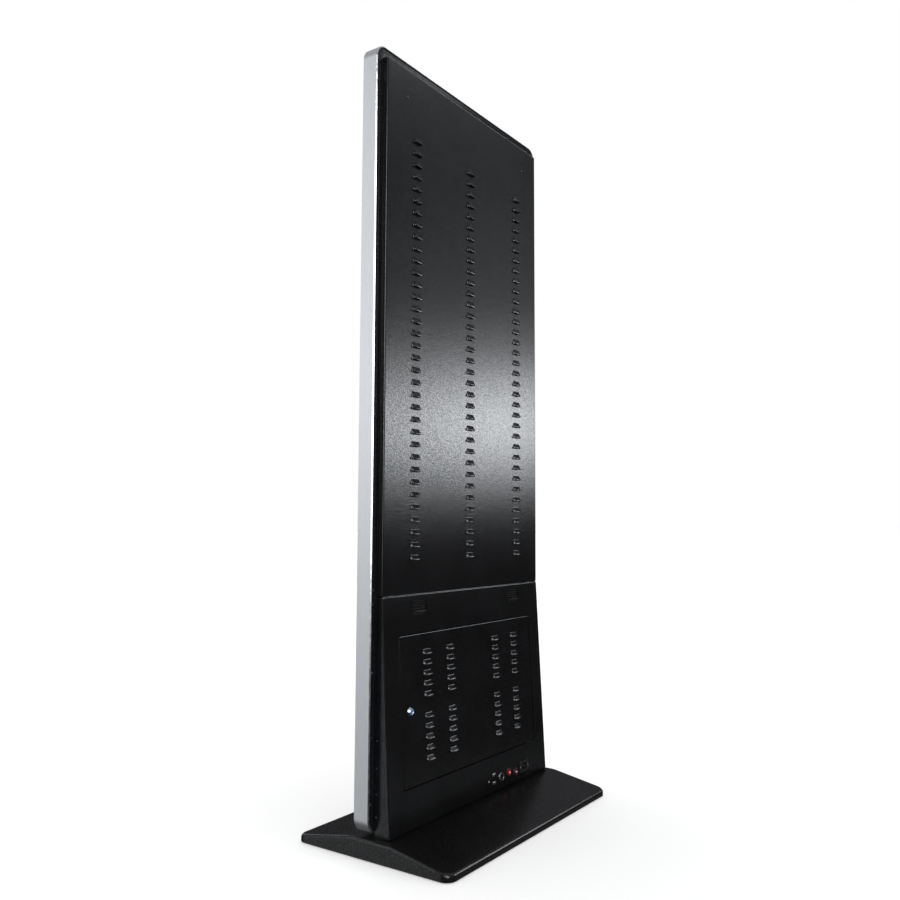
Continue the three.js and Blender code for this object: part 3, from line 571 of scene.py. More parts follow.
def grid_lines(low, high, centres, offsets, others=()):
    lines = {round(low, 4), round(high, 4)}
    lines.update(round(centre + offset, 4) for centre in centres for offset in offsets)
    lines.update(round(value, 4) for value in others)
    return sorted(lines)


def smooth_step(amount):
    amount = min(1.0, max(0.0, amount))
    return amount * amount * (3 - 2 * amount)


class Hoods:
    """The louvres of a panel: columns and rows of pressed hoods. A hood rises evenly from its top edge, rolls
    over at its lip and is open along its lower edge."""

    SIDE_STEPS = (0.0, 0.9, 2.0, 3.3, 5.0)
    DOWN_STEPS = (0.0, 0.8, 1.6, 4.8, 8.0, 9.2, 10.3, 11.4, 12.4, 13.5)
    EASE_END, LIP_START = 0.12, 0.62
    LIP_SLOPE = -0.55
    PEAK = LIP_START - EASE_END / 2 + (1 - LIP_START) / (2 * (1 - LIP_SLOPE))

    def __init__(self, columns, rows):
        self.columns, self.rows = columns, rows
        self.half_width, self.half_height = LOUVRE["width"] / 2, LOUVRE["height"] / 2

    def across_steps(self):
        steps = [self.half_width - step for step in self.SIDE_STEPS]
        return sorted(steps + [-step for step in steps] + [0.0])

    def up_steps(self):
        return sorted(self.half_height - step for step in self.DOWN_STEPS)

    def centre(self, u, v):
        """The middle of the louvre that covers a place, or None."""
        column = next((c for c in self.columns if abs(u - c) < self.half_width), None)
        row = next((r for r in self.rows if abs(v - r) < self.half_height), None)
        return None if column is None or row is None else (column, row)

    def rise(self, down):
        """Height at a share of the way down the hood, where PEAK is the highest it gets."""
        ease, lip = self.EASE_END, self.LIP_START
        if down < ease:
            return down * down / (2 * ease)
        straight = down - ease / 2
        if down < lip:
            return straight
        return straight - (1 - self.LIP_SLOPE) * (down - lip) ** 2 / (2 * (1 - lip))

    def height(self, u, v, centre):
        column, row = centre
        side = smooth_step((self.half_width - abs(u - column)) / self.SIDE_STEPS[-1])
        down = (self.half_height - (v - row)) / LOUVRE["height"]
        return LOUVRE["rise"] * side * self.rise(min(1.0, max(0.0, down))) / self.PEAK


class Panel:
    """A folded sheet: a face grid in u and v, with walls turned down along its outline."""

    def __init__(self, us, vs, corner, fold, surface=None, hoods=None, holes=()):
        self.us, self.vs = us, vs
        self.corner, self.fold = corner, fold
        self.surface = surface or (lambda u, v: 0.0)
        self.hoods, self.holes = hoods, holes
        self.points, self.faces, self.seen = [], [], {}

    def point(self, key, u, v, height):
        if key not in self.seen:
            self.seen[key] = len(self.points)
            self.points.append((u, height, v))
        return self.seen[key]

    def grid_point(self, i, j, hood):
        u, v = self.us[i], self.vs[j]
        lift = self.hoods.height(u, v, hood) if hood else 0.0
        key = ("hood", i, j) if lift > 1e-6 else (i, j)
        return self.point(key, u, v, self.surface(u, v) + lift)

    def face_grid(self):
        for i in range(len(self.us) - 1):
            for j in range(len(self.vs) - 1):
                u, v = (self.us[i] + self.us[i + 1]) / 2, (self.vs[j] + self.vs[j + 1]) / 2
                if any(left < u < right and low < v < high for left, right, low, high in self.holes):
                    continue
                hood = self.hoods.centre(u, v) if self.hoods else None
                corners = ((i, j), (i, j + 1), (i + 1, j + 1), (i + 1, j))
                self.faces.append(tuple(self.grid_point(a, b, hood) for a, b in corners))

    def spokes(self, fan=6):
        """Each outline point of the grid with the direction in which the sheet carries on past it."""
        last_i, last_j = len(self.us) - 1, len(self.vs) - 1
        sides = [
            [(i, 0) for i in range(last_i + 1)],
            [(last_i, j) for j in range(last_j + 1)],
            [(i, last_j) for i in range(last_i, -1, -1)],
            [(0, j) for j in range(last_j, -1, -1)],
        ]
        found = []
        for index, side in enumerate(sides):
            start = math.pi / 2 * (index - 1)
            for i, j in side[:-1] if len(side) > 2 else side[:1]:
                found.append((i, j, start))
            i, j = side[-1]
            for step in range(fan):
                found.append((i, j, start + math.pi / 2 * step / fan))
        # each side starts at the corner where the fan of the side before it ended
        return [spoke for number, spoke in enumerate(found) if number == 0 or spoke != found[number - 1]]

    def walls(self, wall_end):
        flat = self.corner - self.fold
        loops = [(flat, 0.0)] if flat > 0.01 else []
        for step in range(1, 5):
            angle = math.pi / 8 * step
            loops.append((flat + self.fold * math.sin(angle), self.fold * (1 - math.cos(angle))))
        loops.append((self.corner, None))
        rows = []
        for number, (i, j, angle) in enumerate(self.spokes()):
            row = [self.seen[(i, j)]]
            for loop, (reach, drop) in enumerate(loops):
                u = self.us[i] + reach * math.cos(angle)
                v = self.vs[j] + reach * math.sin(angle)
                height = wall_end(u, v) if drop is None else self.surface(u, v) - drop
                row.append(self.point(("wall", number, loop), u, v, height))
            rows.append(row)
        for first, second in zip(rows, rows[1:] + rows[:1]):
            for loop in range(len(loops)):
                corners = (first[loop], second[loop], second[loop + 1], first[loop + 1])
                face = tuple(dict.fromkeys(corners))
                if len(face) > 2:
                    self.faces.append(face)

    def build(self, name, material, wall_end, body="kiosk", place=upright_place, replaces=()):
        self.face_grid()
        self.walls(wall_end)
        return new_piece(name, self.points, self.faces, material, body, place, replaces)


def louvre_rows(bottom, top, count):
    pitch = (top - bottom) / (count - 1)
    return [bottom + pitch * row for row in range(count)]


def upper_cover():
    """The shallow cover above the seam, with three columns of louvres."""
    rows = louvre_rows(COVER_LOUVRES["bottom"], COVER_LOUVRES["top"], COVER_LOUVRES["rows"])
    hoods = Hoods(COVER_LOUVRES["columns"], rows)
    half = COVER_HALF - COVER_FOLD
    bottom, top = upper_low.z + COVER_FOLD, upper_high.z - COVER_FOLD
    us = grid_lines(-half, half, hoods.columns, hoods.across_steps(), (1 - half, half - 1))
    vs = grid_lines(bottom, top, rows, hoods.up_steps())
    panel = Panel(us, vs, COVER_FOLD, COVER_FOLD, hoods=hoods)
    lip = -SHEET - 0.9

    def wall_end(u, v):
        return lip if v < bottom - COVER_FOLD / 2 and abs(u) < half else COVER_FRONT_Y - COVER_REAR_Y

    def place(u, height, v):
        return Vector((u, COVER_REAR_Y + height, v))

    cover = panel.build("upper_cover", COAT, wall_end, place=place, replaces=["upper_rear_cover"])
    thicken(cover, SHEET)
    screw = node_middle("cover_screw_right")
    holes = [prism(circle_outline(2.6, side * screw.x, screw.z, 20), *THROUGH) for side in (-1, 1)]
    return carve(cover, holes, place)


def lower_cover():
    """The leaning cover under the seam, with the doorway, the speaker slots and the socket openings."""
    half = COVER_HALF - FOLD
    foot, seam = -FACE_LENGTH + FOLD, -FOLD
    gap = DOOR["gap"]
    doorway = (-DOOR["half"] - gap, DOOR["half"] + gap, -DOOR["bottom"] - gap, -DOOR["top"] + gap)
    band_top_drop = -(SEAM_Z - band_low.z - 7.5) / math.cos(LEAN)
    us = grid_lines(-half, half, (), (), (*doorway[:2], 1 - half, half - 1))
    vs = grid_lines(foot, seam, (), (), (*doorway[2:], band_top_drop, band_top_drop + 0.5))
    panel = Panel(us, vs, FOLD, FOLD, holes=[doorway])

    def wall_end(u, v):
        if v > seam + FOLD / 2 and abs(u) < half:
            return -14.0
        front = COVER_FRONT_Y if v > band_top_drop + 0.2 else band_high.y + 0.3
        return (front - FACE_TOP.y + v * math.sin(LEAN)) / math.cos(LEAN)

    cover = panel.build("lower_cover", COAT, wall_end, place=slope_place, replaces=["lower_rear_cover"])
    thicken(cover, SHEET)
    carve(cover, lower_openings(), slope_place)
    return cover


def speaker_slots(x):
    """Rows of slots whose lengths follow an ellipse."""
    middle = (SPEAKER["slots"] - 1) / 2
    half_patch = (SPEAKER["slots"] + 0.6) * SPEAKER["pitch"] / 2
    corners = ((-1, -1), (1, -1), (1, 1), (-1, 1))
    parts = []
    for row in range(SPEAKER["slots"]):
        offset = (row - middle) * SPEAKER["pitch"]
        chord = SPEAKER["width"] * math.sqrt(1 - (offset / half_patch) ** 2)
        z = offset - SPEAKER["drop"]
        slot, rim = (
            [(x + side * chord / 2, z + end * height / 2) for side, end in corners]
            for height in (SPEAKER["height"], SPEAKER["height"] + 1.4)
        )
        parts.append(taper(slot, rim, (-4.0, -0.7, 0.05, 3.0)))
    return parts


def lower_openings():
    """Cutting tools for the sockets, the switches, the light and the speakers."""
    holes = [rounded_outline(41, 23, 2, INLET["x"], -INLET["drop"])]
    for drop in USB["drops"]:
        holes.append(rounded_outline(USB["width"] + 0.8, USB["height"] + 0.8, 1, USB["x"], -drop))
    rounds = ((ROCKER, 10.5), (BUTTON, 9.3), (JACK, 10.4), (LAMP, LAMP["radius"] + 0.3))
    holes += [circle_outline(radius, spot["x"], -spot["drop"]) for spot, radius in rounds]
    parts = [prism(outline, *THROUGH) for outline in holes]
    return parts + speaker_slots(-SPEAKER["x"]) + speaker_slots(SPEAKER["x"])


def door_panel():
    """The louvred service door, a folded tray with a hole for the lock."""
    pitch, drops = DOOR_LOUVRES["pitch"], DOOR_LOUVRES["drops"]
    rows = sorted(-drop - row * pitch for drop in drops for row in range(DOOR_LOUVRES["rows"]))
    hoods = Hoods(DOOR_LOUVRES["columns"], rows)
    half = DOOR["half"] - FOLD
    bottom, top = -DOOR["bottom"] + FOLD, -DOOR["top"] - FOLD
    us = grid_lines(-half, half, hoods.columns, hoods.across_steps())
    vs = grid_lines(bottom, top, rows, hoods.up_steps())
    panel = Panel(us, vs, FOLD, FOLD, hoods=hoods)
    door = panel.build("door_panel", COAT, lambda u, v: -DOOR["depth"], "door", slope_place, ["service_door"])
    thicken(door, SHEET)
    hole = prism(circle_outline(LOCK["body"] + 0.3, LOCK["x"], -LOCK["drop"]), *THROUGH)
    return carve(door, [hole], slope_place)


def tent_height(y):
    """Height of the base's outer face: flat along the ridge, then falling to the front and rear edges."""
    ridge, bend = BASE["ridge"], BASE["bend"]
    slope = (ridge - BASE["edge"]) / (base_high.y - BASE["ridge_half"])
    past = abs(y) - BASE["ridge_half"]
    if past < -bend:
        return ridge
    if past > bend:
        return ridge - slope * past
    return ridge - slope * (past + bend) ** 2 / (4 * bend)


def upright_slots(bottom, top):
    """Cutting tools where the two uprights pass through."""
    middles = [node_middle(f"upright_{side}").x for side in ("left", "right")]
    half, depth = UPRIGHT_SLOT["half"], (UPRIGHT_SLOT["front"], UPRIGHT_SLOT["rear"])
    return [block((middle - half, middle + half), depth, (bottom, top), 0) for middle in middles]


def tent_base():
    """The base's folded cover: a flat ridge between two sloping wings, turned down all round."""
    corner, fold = BASE["corner"], 7.0
    half_x, half_y = base_high.x - corner, base_high.y - corner
    bend_steps = (-7, -4.5, -2, 0, 2, 4.5, 7)
    bends = [side * (BASE["ridge_half"] + step) for side in (-1, 1) for step in bend_steps]
    us = grid_lines(-half_x, half_x, (), (), (-200, 0, 200))
    vs = grid_lines(-half_y, half_y, (), (), (*bends, 0, -130, 130))
    panel = Panel(us, vs, corner, fold, surface=lambda u, v: tent_height(v))

    def place(u, height, v):
        return Vector((u, v, height))

    base = panel.build("tent_base", BASE_COAT, lambda u, v: base_low.z, place=place, replaces=["base_cover"])
    base.data.flip_normals()
    thicken(base, BASE["sheet"])
    return carve(base, upright_slots(40, 50), upright_place)


# ---------------------------------------------------------------- band and glass


def swept_ring(profile, half_width, half_height, corner, centre_z, steps=12):
    """A closed profile of (inset, y) carried round a rounded rectangle. Returns points, faces and, for each
    face, the number of the profile edge it belongs to."""
    turns = list(corner_turns(2 * half_width, 2 * half_height, corner, 0.0, centre_z, steps))
    points = []
    for (x, z), across, up in turns:
        points += [(x + (corner - inset) * across, y, z + (corner - inset) * up) for inset, y in profile]
    faces, edges = [], []
    count, total = len(profile), len(turns)
    for station in range(total):
        here, there = station * count, (station + 1) % total * count
        for edge in range(count):
            after = (edge + 1) % count
            faces.append((here + edge, there + edge, there + after, here + after))
            edges.append(edge)
    return points, faces, edges


def arc(centre_inset, centre_y, radius, start, end, steps=3):
    """Profile points on an arc, its angles in degrees: 0 points inwards and 90 points to the rear."""
    turn = [math.radians(start + (end - start) * step / steps) for step in range(steps + 1)]
    return [(centre_inset + radius * math.cos(a), centre_y + radius * math.sin(a)) for a in turn]


def trim_band():
    """The aluminium band: satin outside, with a bright cut edge round the rear."""
    wall, ledge, bright = BAND["wall"], BAND["ledge"], BAND["bright"]
    front, rear = band_low.y, band_high.y
    ledge_front, ledge_rear = front + BAND["ledge_front"], front + BAND["ledge_rear"]
    profile = arc(1.2, front + 1.2, 1.2, 270, 180)
    profile += [(0.0, rear - bright), (0.25, rear - bright + 0.1)]
    first_bright = len(profile) - 1
    profile += [(bright - 0.2, rear - 0.25), (bright, rear)]
    last_bright = len(profile) - 2
    profile += [(wall, rear), (wall, ledge_rear), (wall + ledge, ledge_rear), (wall + ledge, ledge_front)]
    profile += [(wall, ledge_front), (wall, front)]
    half_height = (band_high.z - band_low.z) / 2
    centre_z = (band_high.z + band_low.z) / 2
    points, faces, edges = swept_ring(profile, band_high.x, half_height, BAND["corner"], centre_z)
    band = gather("trim_band", [(points, faces)], ALUMINIUM, replaces=["bezel_frame"], sharp=28)
    band.data.materials.append(BRIGHT_EDGE)
    for face, edge in zip(band.data.polygons, edges):
        face.material_index = int(first_bright <= edge <= last_bright)
    return carve(band, upright_slots(40, 80), upright_place)


def glass_front():
    """The flush glass, rounded over at its front edge."""
    low, high = node_box("front_glass")
    edge, flat = 0.8, 4.0
    profile = [(flat, high.y), (0.4, high.y), (0.0, high.y - 0.4)]
    profile += arc(edge, low.y + edge, edge, 180, 270, 4) + [(flat, low.y)]
    half_height, centre_z = (high.z - low.z) / 2, (high.z + low.z) / 2
    points, faces, edges = swept_ring(profile, high.x, half_height, BAND["corner"] - 3.3, centre_z)
    count = len(profile)
    # the inner edge of the ring gives way to a flat face in front and one behind
    faces = [face for face, number in zip(faces, edges) if number != count - 1]
    faces += [tuple(range(start, len(points), count)) for start in (0, count - 1)]
    return gather("glass_front", [(points, faces)], GLASS, replaces=["front_glass"])


# ---------------------------------------------------------------- fasteners


def pan_head(radius, height, face):
    """A screw head with a hexagonal socket, from the rear face inwards."""
    socket, shank, reach = radius * 0.52, radius * 0.5, 4.0
    recess = [(0.0, 0.25), (socket, 0.30), (socket, 0.94), (socket * 1.12, 1.0)]
    crown = [(radius * 0.72, 0.97), (radius * 0.93, 0.66), (radius, 0.25), (radius, 0.0)]
    head = [(across, face + height * share) for across, share in recess + crown]
    return head + [(shank, face - 0.1), (shank, face - reach), (0.0, face - reach)]


def screw_heads(name, spots, face, material, radius, height, place=upright_place, replaces=()):
    parts = [lathe_parts(pan_head(radius, height, face), x, z, 24, {1: 6, 2: 6}) for x, z in spots]
    return gather(name, parts, material, "kiosk", place, replaces, 40)


def flange_screws():
    """Small screws down both sides and along the top of the chassis flange."""
    spots = [(side * FLANGE_SCREWS["side"], z) for side in (-1, 1) for z in FLANGE_SCREWS["heights"]]
    spots += [(x, FLANGE_SCREWS["top_row"]) for x in FLANGE_SCREWS["across"]]
    names = [f"flange_screw_{end}_{side}" for end in ("top", "bottom") for side in ("left", "right")]
    return screw_heads("flange_screws", spots, flange_high.y, SCREW_BLACK, 2.6, 1.5, replaces=names)


def cover_screws():
    screw = node_middle("cover_screw_right")
    spots = [(-screw.x, screw.z), (screw.x, screw.z)]
    names = ["cover_screw_left", "cover_screw_right"]
    return screw_heads("cover_screws", spots, COVER_REAR_Y, SCREW_BLACK, 3.4, 1.7, replaces=names)


def wall_screws():
    """Screws through the side walls of the lower cover, near the flange."""
    spots = [(0.0, z) for z in WALL_SCREWS["heights"]]
    row_y = COVER_FRONT_Y + WALL_SCREWS["setback"]
    for side, way in (("left", -1), ("right", 1)):

        def place(x, y, z, way=way):
            return Vector((way * (COVER_HALF + y), row_y - way * x, z))

        screw_heads(f"wall_screws_{side}", spots, 0.0, SCREW_BLACK, 2.0, 1.0, place)


def cover_hems():
    """The narrow hem turned out at the front edge of the covers' side walls."""
    spans = ((upper_low.z + 2, upper_high.z - 6), (band_low.z + 16, SEAM_Z - 2))
    ys, edge = (COVER_FRONT_Y + 0.1, COVER_FRONT_Y + 3.1), 1.4
    parts = []
    for side in (-1, 1):
        xs = sorted((side * (COVER_HALF - 0.2), side * (COVER_HALF + 2.8)))
        parts += [block(xs, ys, span, edge) for span in spans]
    gather("cover_hems", parts, COAT)


# ---------------------------------------------------------------- lock, switches and sockets


def door_lock():
    """The cam lock: a sloping chrome ring, a chrome face in it and the plug with its key slot, face and plug
    tinted blue as a painted reflection of bluish light.
    """
    face, body, plug, stand = LOCK["face"], LOCK["body"], LOCK["plug"], LOCK["stand"]
    x, z = LOCK["x"], -LOCK["drop"]
    bore, flat, foot = plug + 0.25, face - 3.7, -14.0
    ring = [(bore, foot + 0.5), (bore, stand - 0.8), (bore + 0.4, stand - 0.3), (flat, stand)]
    ring += [(flat + 0.6, stand - 0.3), (face - 0.4, 1.9), (face, 1.1), (face, 0.3), (body + 0.2, 0.3)]
    ring += [(body, -0.2), (body, foot), (bore + 0.2, foot), (bore, foot + 0.5)]
    lathe("lock_ring", ring, x, z, CHROME, "door", 56, ["lock_body"])
    inner, outer = bore + 0.5, flat - 0.1
    disc = [(inner, stand - 0.5), (inner, stand), (inner + 0.3, stand + 0.3), (outer - 0.3, stand + 0.3)]
    disc += [(outer, stand), (outer, stand - 0.5), (inner, stand - 0.5)]
    lathe("lock_face", disc, x, z, CHROME_WITH_PAINTED_BLUE_REFLECTION, "door", 56)
    top, tail, stem = stand - 0.6, -18.5, 3.0
    barrel = [(0.0, top), (plug - 0.9, top), (plug - 0.2, top - 0.3), (plug, top - 1.0), (plug, -14.3)]
    barrel += [(stem, -14.3), (stem, tail), (0.0, tail)]
    core = lathe("lock_core", barrel, x, z, CHROME_WITH_PAINTED_BLUE_REFLECTION, "lock", 48, ["lock_plug"])
    return carve(core, [prism(rounded_outline(1.5, 6.4, 0.6, x, z, 3), -1, stand + 2)], slope_place)


def push_button():
    """The red button, with a small lit lens in its cap, inside its black collar."""
    x, z = BUTTON["x"], -BUTTON["drop"]
    cap, collar = BUTTON["cap"], BUTTON["collar"]
    ring = [(0, -18), (9, -18), (9, 0.3), (collar, 0.3), (collar - 0.2, 1.3), (collar - 1.2, 2.1)]
    ring += [(cap + 0.9, 2.3), (cap + 0.3, 1.8), (cap + 0.3, -15), (0, -15)]
    lathe("button_bezel", ring, x, z, BLACK_PLASTIC, replaces=["button_collar"])
    top = [(0, 4.9), (cap * 0.35, 4.9), (cap * 0.42, 5.2), (cap - 1.6, 5.5), (cap - 0.5, 5.1), (cap, 4.2)]
    top += [(cap, -11), (0, -11)]
    lathe("button_cap", top, x, z, RED, "button", replaces=["push_button"])
    lens = [(0, 5.75), (cap * 0.2, 5.6), (cap * 0.33, 5.1), (cap * 0.33, 4.6), (0, 4.6)]
    lathe("button_lens", lens, x, z, RED_LIGHT, "button")


def rocker_switch():
    """The round rocker: a black bezel and a dished red paddle that rests tipped."""
    x, z, radius, half = ROCKER["x"], -ROCKER["drop"], ROCKER["radius"], ROCKER["paddle"]
    shell = [(0, -15), (10.2, -15), (10.2, 0.3), (radius, 0.3), (radius - 0.2, 1.4), (radius - 1.0, 2.3)]
    shell += [(9.6, 2.4), (9.2, 2.0), (9.2, -11), (0, -11)]
    lathe("rocker_bezel", shell, x, z, BLACK_PLASTIC, replaces=["rocker_housing"])
    tilt = math.radians(ROCKER["tilt"])
    pivot_y = -1.5

    def tipped(u, y, v):
        """A place on the paddle, turned about its pivot."""
        turned_y = y * math.cos(tilt) + v * math.sin(tilt)
        turned_z = -y * math.sin(tilt) + v * math.cos(tilt)
        return slope_place(x + u, pivot_y + turned_y, z + turned_z)

    rings = [[(across, -6.0, up) for across, up in circle_outline(half, sides=40)]]
    for reach, level in ((half, 3.4), (half - 0.5, 4.0), (half * 0.66, 4.0), (half * 0.33, 4.0)):
        outline = circle_outline(reach, sides=40)
        rings.append([(across, level + abs(up) * math.tan(tilt), up) for across, up in outline])
    rings.append([(0.0, 4.0, 0.0)])
    gather("rocker_cap", [loft(rings)], DARK_RED, "rocker", tipped, ["rocker_paddle"])
    mark = block((-3.4, 3.4), (3.4, 4.6), (-2.0, 2.0), 0.4)
    gather("rocker_mark", [mark], WHITE_INK, "rocker", tipped)


def network_socket():
    """The silver ring of the network socket and the contacts of its jack."""
    x, z, radius = JACK["x"], -JACK["drop"], JACK["radius"]
    ring = [(8.3, -4), (8.3, 2.0), (8.8, 2.5), (radius - 1.6, 2.6), (radius - 0.5, 2.1), (radius, 1.2)]
    ring += [(radius, 0.3), (10, 0.3), (10, -4), (8.3, -4)]
    lathe("jack_ring", ring, x, z, CHROME, sides=48, replaces=["network_jack_collar"])
    lefts = [x - 3.6 + step for step in range(8)]
    contacts = [block((left, left + 0.5), (-12, -3), (z - 3.7, z - 2.6), 0.1) for left in lefts]
    gather("jack_contacts", contacts, GOLD, place=slope_place)


def mains_socket():
    """The mains inlet: a flange with a recess, three blades and two screws."""
    x, z = INLET["x"], -INLET["drop"]
    outer = prism(rounded_outline(48, 28, 4, x, z, 5), 0.3, 2.8)
    flange = gather("inlet_flange", [outer], BLACK_PLASTIC, place=slope_place, replaces=["mains_inlet"])
    bevel = flange.modifiers.new("edge", "BEVEL")
    bevel.width, bevel.segments = 0.8 * MM, 3
    settle(flange)
    body = prism(rounded_outline(40, 22, 1.5, x, z, 3), -24, 0.6)
    tub = gather("inlet_tub", [body], BLACK_PLASTIC, place=slope_place)
    recess = prism(rounded_outline(27, 18, 4, x, z, 5), -16, 4)
    for hollow in (flange, tub):
        carve(hollow, [recess], slope_place)
    blades = [(x - 7, z - 1.5), (x, z + 2), (x + 7, z - 1.5)]
    parts = [block((u - 1.4, u + 1.4), (-17, -1), (v - 2.4, v + 2.4), 0.4) for u, v in blades]
    gather("inlet_blades", parts, CHROME, place=slope_place)
    screw_heads("inlet_screws", [(x - 20, z), (x + 20, z)], 2.8, STEEL, 1.7, 0.8, slope_place)


def usb_sockets():
    """Two stacked sockets, each a metal shell, a tongue and four contacts."""
    x, width, height = USB["x"], USB["width"], USB["height"]
    for number, (name, drop) in enumerate(zip(("usb_socket_upper", "usb_socket_lower"), USB["drops"]), 1):
        z = -drop
        outer = prism(rounded_outline(width, height, 0.8, x, z, 3), -17, 0.8)
        shell = gather(f"usb_shell_{number}", [outer], SOCKET_SHELL, place=slope_place, replaces=[name])
        carve(shell, [prism(rounded_outline(width - 1.4, height - 1.4, 0.5, x, z, 3), -14, 2)], slope_place)
        tongue = block((x - 5.6, x + 5.6), (-14.2, -0.5), (z + 0.1, z + 2.3), 0.3)
        gather(f"usb_tongue_{number}", [tongue], WHITE_INK, place=slope_place)
        lefts = [x - 4.2 + step * 2.4 for step in range(4)]
        pins = [block((left, left + 1.0), (-12, -2), (z - 0.1, z + 0.4), 0.1) for left in lefts]
        gather(f"usb_contacts_{number}", pins, GOLD, place=slope_place)


def status_lamp():
    """The small domed light."""
    radius = LAMP["radius"]
    dome = [(0, 1.9), (radius * 0.45, 1.75), (radius * 0.8, 1.3), (radius * 0.98, 0.6), (radius, 0.0)]
    dome += [(radius, -7), (0, -7)]
    lathe("status_lens", dome, LAMP["x"], -LAMP["drop"], LAMP_LENS, sides=28, replaces=["status_light"])


# ---------------------------------------------------------------- equipment behind the door


def power_supply():
    """A folded cage with rows of vent holes, a terminal strip and its screws."""
    low, high = node_box("power_supply")
    hole, vent_pitch, slot_pitch = 4.2, 7.2, 18
    lines_u = [low.x + 14 + vent_pitch * step for step in range(23)]
    lines_v = [low.z + 22 + vent_pitch * step for step in range(9)]
    us = grid_lines(low.x + 2, high.x - 2, lines_u, (0, hole))
    vs = grid_lines(low.z + 15, high.z - 2, lines_v, (0, hole))
    holes = [(u, u + hole, v, v + hole) for u in lines_u for v in lines_v]
    panel = Panel(us, vs, 2.0, 2.0, holes=holes)

    def place(u, height, v):
        return Vector((u, high.y + height, v))

    depth = high.y - low.y
    cage = panel.build("supply_cage", ZINC, lambda u, v: -depth, place=place, replaces=["power_supply"])
    thicken(cage, 1.0)
    tray = block((low.x + 1.2, high.x - 1.2), (low.y, low.y + 2), (low.z, high.z - 1.2), 0.3)
    gather("supply_tray", [tray], ZINC)
    floor = low.y + 2
    core = [
        block((low.x + 20, low.x + 62), (floor, low.y + 22), (low.z + 30, low.z + 72), 1.0),
        block((low.x + 120, low.x + 150), (floor, low.y + 20), (low.z + 26, low.z + 60), 1.0),
    ]
    gather("supply_coils", core, BLACK_PLASTIC)
    rise = (low.z + 1, low.z + 12)
    strip = [block((low.x + 6, high.x - 6), (floor, low.y + 10), rise, 0.6)]
    for left in [low.x + 10 + step * slot_pitch for step in range(10)]:
        strip.append(block((left, left + 1.6), (low.y + 10, low.y + 15), rise, 0.3))
    gather("supply_terminals", strip, BLACK_PLASTIC)
    spots = [(low.x + 19.8 + step * slot_pitch, low.z + 6.5) for step in range(9)]
    screw_heads("terminal_screws", spots, low.y + 10, STEEL, 3.2, 1.6)


def media_player():
    """A finned case in grey moulded plastic, with a row of ports along its foot."""
    low, high = node_box("media_player")
    middle = node_middle("media_player")
    margin, pitch = 12, 9.5
    count = int((high.x - low.x - 2 * margin) / pitch) + 1
    lefts = [low.x + margin + number * pitch for number in range(count)]
    fins = [block((left, left + 3.0), (low.y + 10, high.y), (low.z + 8, high.z - 8), 0.8) for left in lefts]
    outline = rounded_outline(high.x - low.x, high.z - low.z, 6, middle.x, middle.z)
    gather("player_case", [prism(outline, low.y, low.y + 14), *fins], GREY_PLASTIC, replaces=["media_player"])
    ports = []
    for number, width in enumerate((15, 15, 16, 12, 9)):
        left = low.x + 24 + number * 26
        ports.append(block((left, left + width), (low.y + 3, low.y + 10), (low.z - 1.5, low.z + 4), 0.5))
    gather("player_ports", ports, SOCKET_SHELL)


def board_parts(node, name, chips, cans):
    """Parts standing on a circuit board. A chip is (x, z, width, depth, height) and a capacitor is
    (x, z, radius, height), from the board's lower left corner."""
    low, high = node_box(node)
    face = low.y + 6.6
    dark = []
    for across, up, width, depth, height in chips:
        x, z = low.x + across, low.z + up
        dark.append(block((x, x + width), (face - 0.2, face + height), (z, z + depth), 0.3))
    gather(f"{name}_chips", dark, BLACK_PLASTIC)
    bodies = []
    for across, up, radius, height in cans:
        top = face + height
        profile = [(0, top - 0.3), (radius * 0.7, top - 0.3), (radius * 0.85, top), (radius, top - 0.6)]
        profile += [(radius, face + 1.6), (radius * 0.9, face + 1.2), (radius, face + 0.8)]
        profile += [(radius, face - 0.2), (0, face - 0.2)]
        bodies.append(lathe_parts(profile, low.x + across, low.z + up, 20))
    gather(f"{name}_cans", bodies, STEEL)
    spots = [(x, z) for x in (low.x + 6, high.x - 6) for z in (low.z + 6, high.z - 6)]
    screw_heads(f"{name}_screws", spots, face, STEEL, 2.6, 1.4)


def wire(name, places, radius, material):
    """A round wire through the given places."""
    curve = bpy.data.curves.new(name, "CURVE")
    curve.dimensions = "3D"
    curve.bevel_depth = radius * MM
    curve.bevel_resolution = 4
    curve.resolution_u = 10
    curve.use_fill_caps = True
    line = curve.splines.new("BEZIER")
    line.bezier_points.add(len(places) - 1)
    for point, place in zip(line.bezier_points, places):
        point.co = Vector(place) * MM
        point.handle_left_type = point.handle_right_type = "AUTO"
    curve.materials.append(material)
    obj = bpy.data.objects.new(name, curve)
    bpy.context.scene.collection.objects.link(obj)
    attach(obj, "kiosk")


def wiring():
    """Wires from the power supply to the media player, and two between the boards."""
    low = node_box("power_supply")[0]
    for number, material in enumerate((JACKET, RED_JACKET, GREY_JACKET)):
        shift = number * 7.0
        places = [
            (-60 - shift * 2, low.y + 13, low.z + 5),
            (-48 - shift, low.y + 12, low.z - 12 - shift),
            (0, low.y + 8, low.z - 14 - shift),
            (6 + shift, low.y + 8, 210),
            (36 + shift * 2, low.y + 7, 257),
        ]
        wire(f"supply_wire_{number + 1}", places, 1.5, material)
    wire("ribbon_cable", [(-60, 6, 300), (-30, 4, 308), (-6, 4, 318), (14, 7, 330)], 2.2, GREY_JACKET)
    wire("touch_cable", [(120, 3, 420), (130, 4, 410), (150, 6, 404), (170, 8, 398)], 1.6, JACKET)


# ---------------------------------------------------------------- CAD nodes that stay


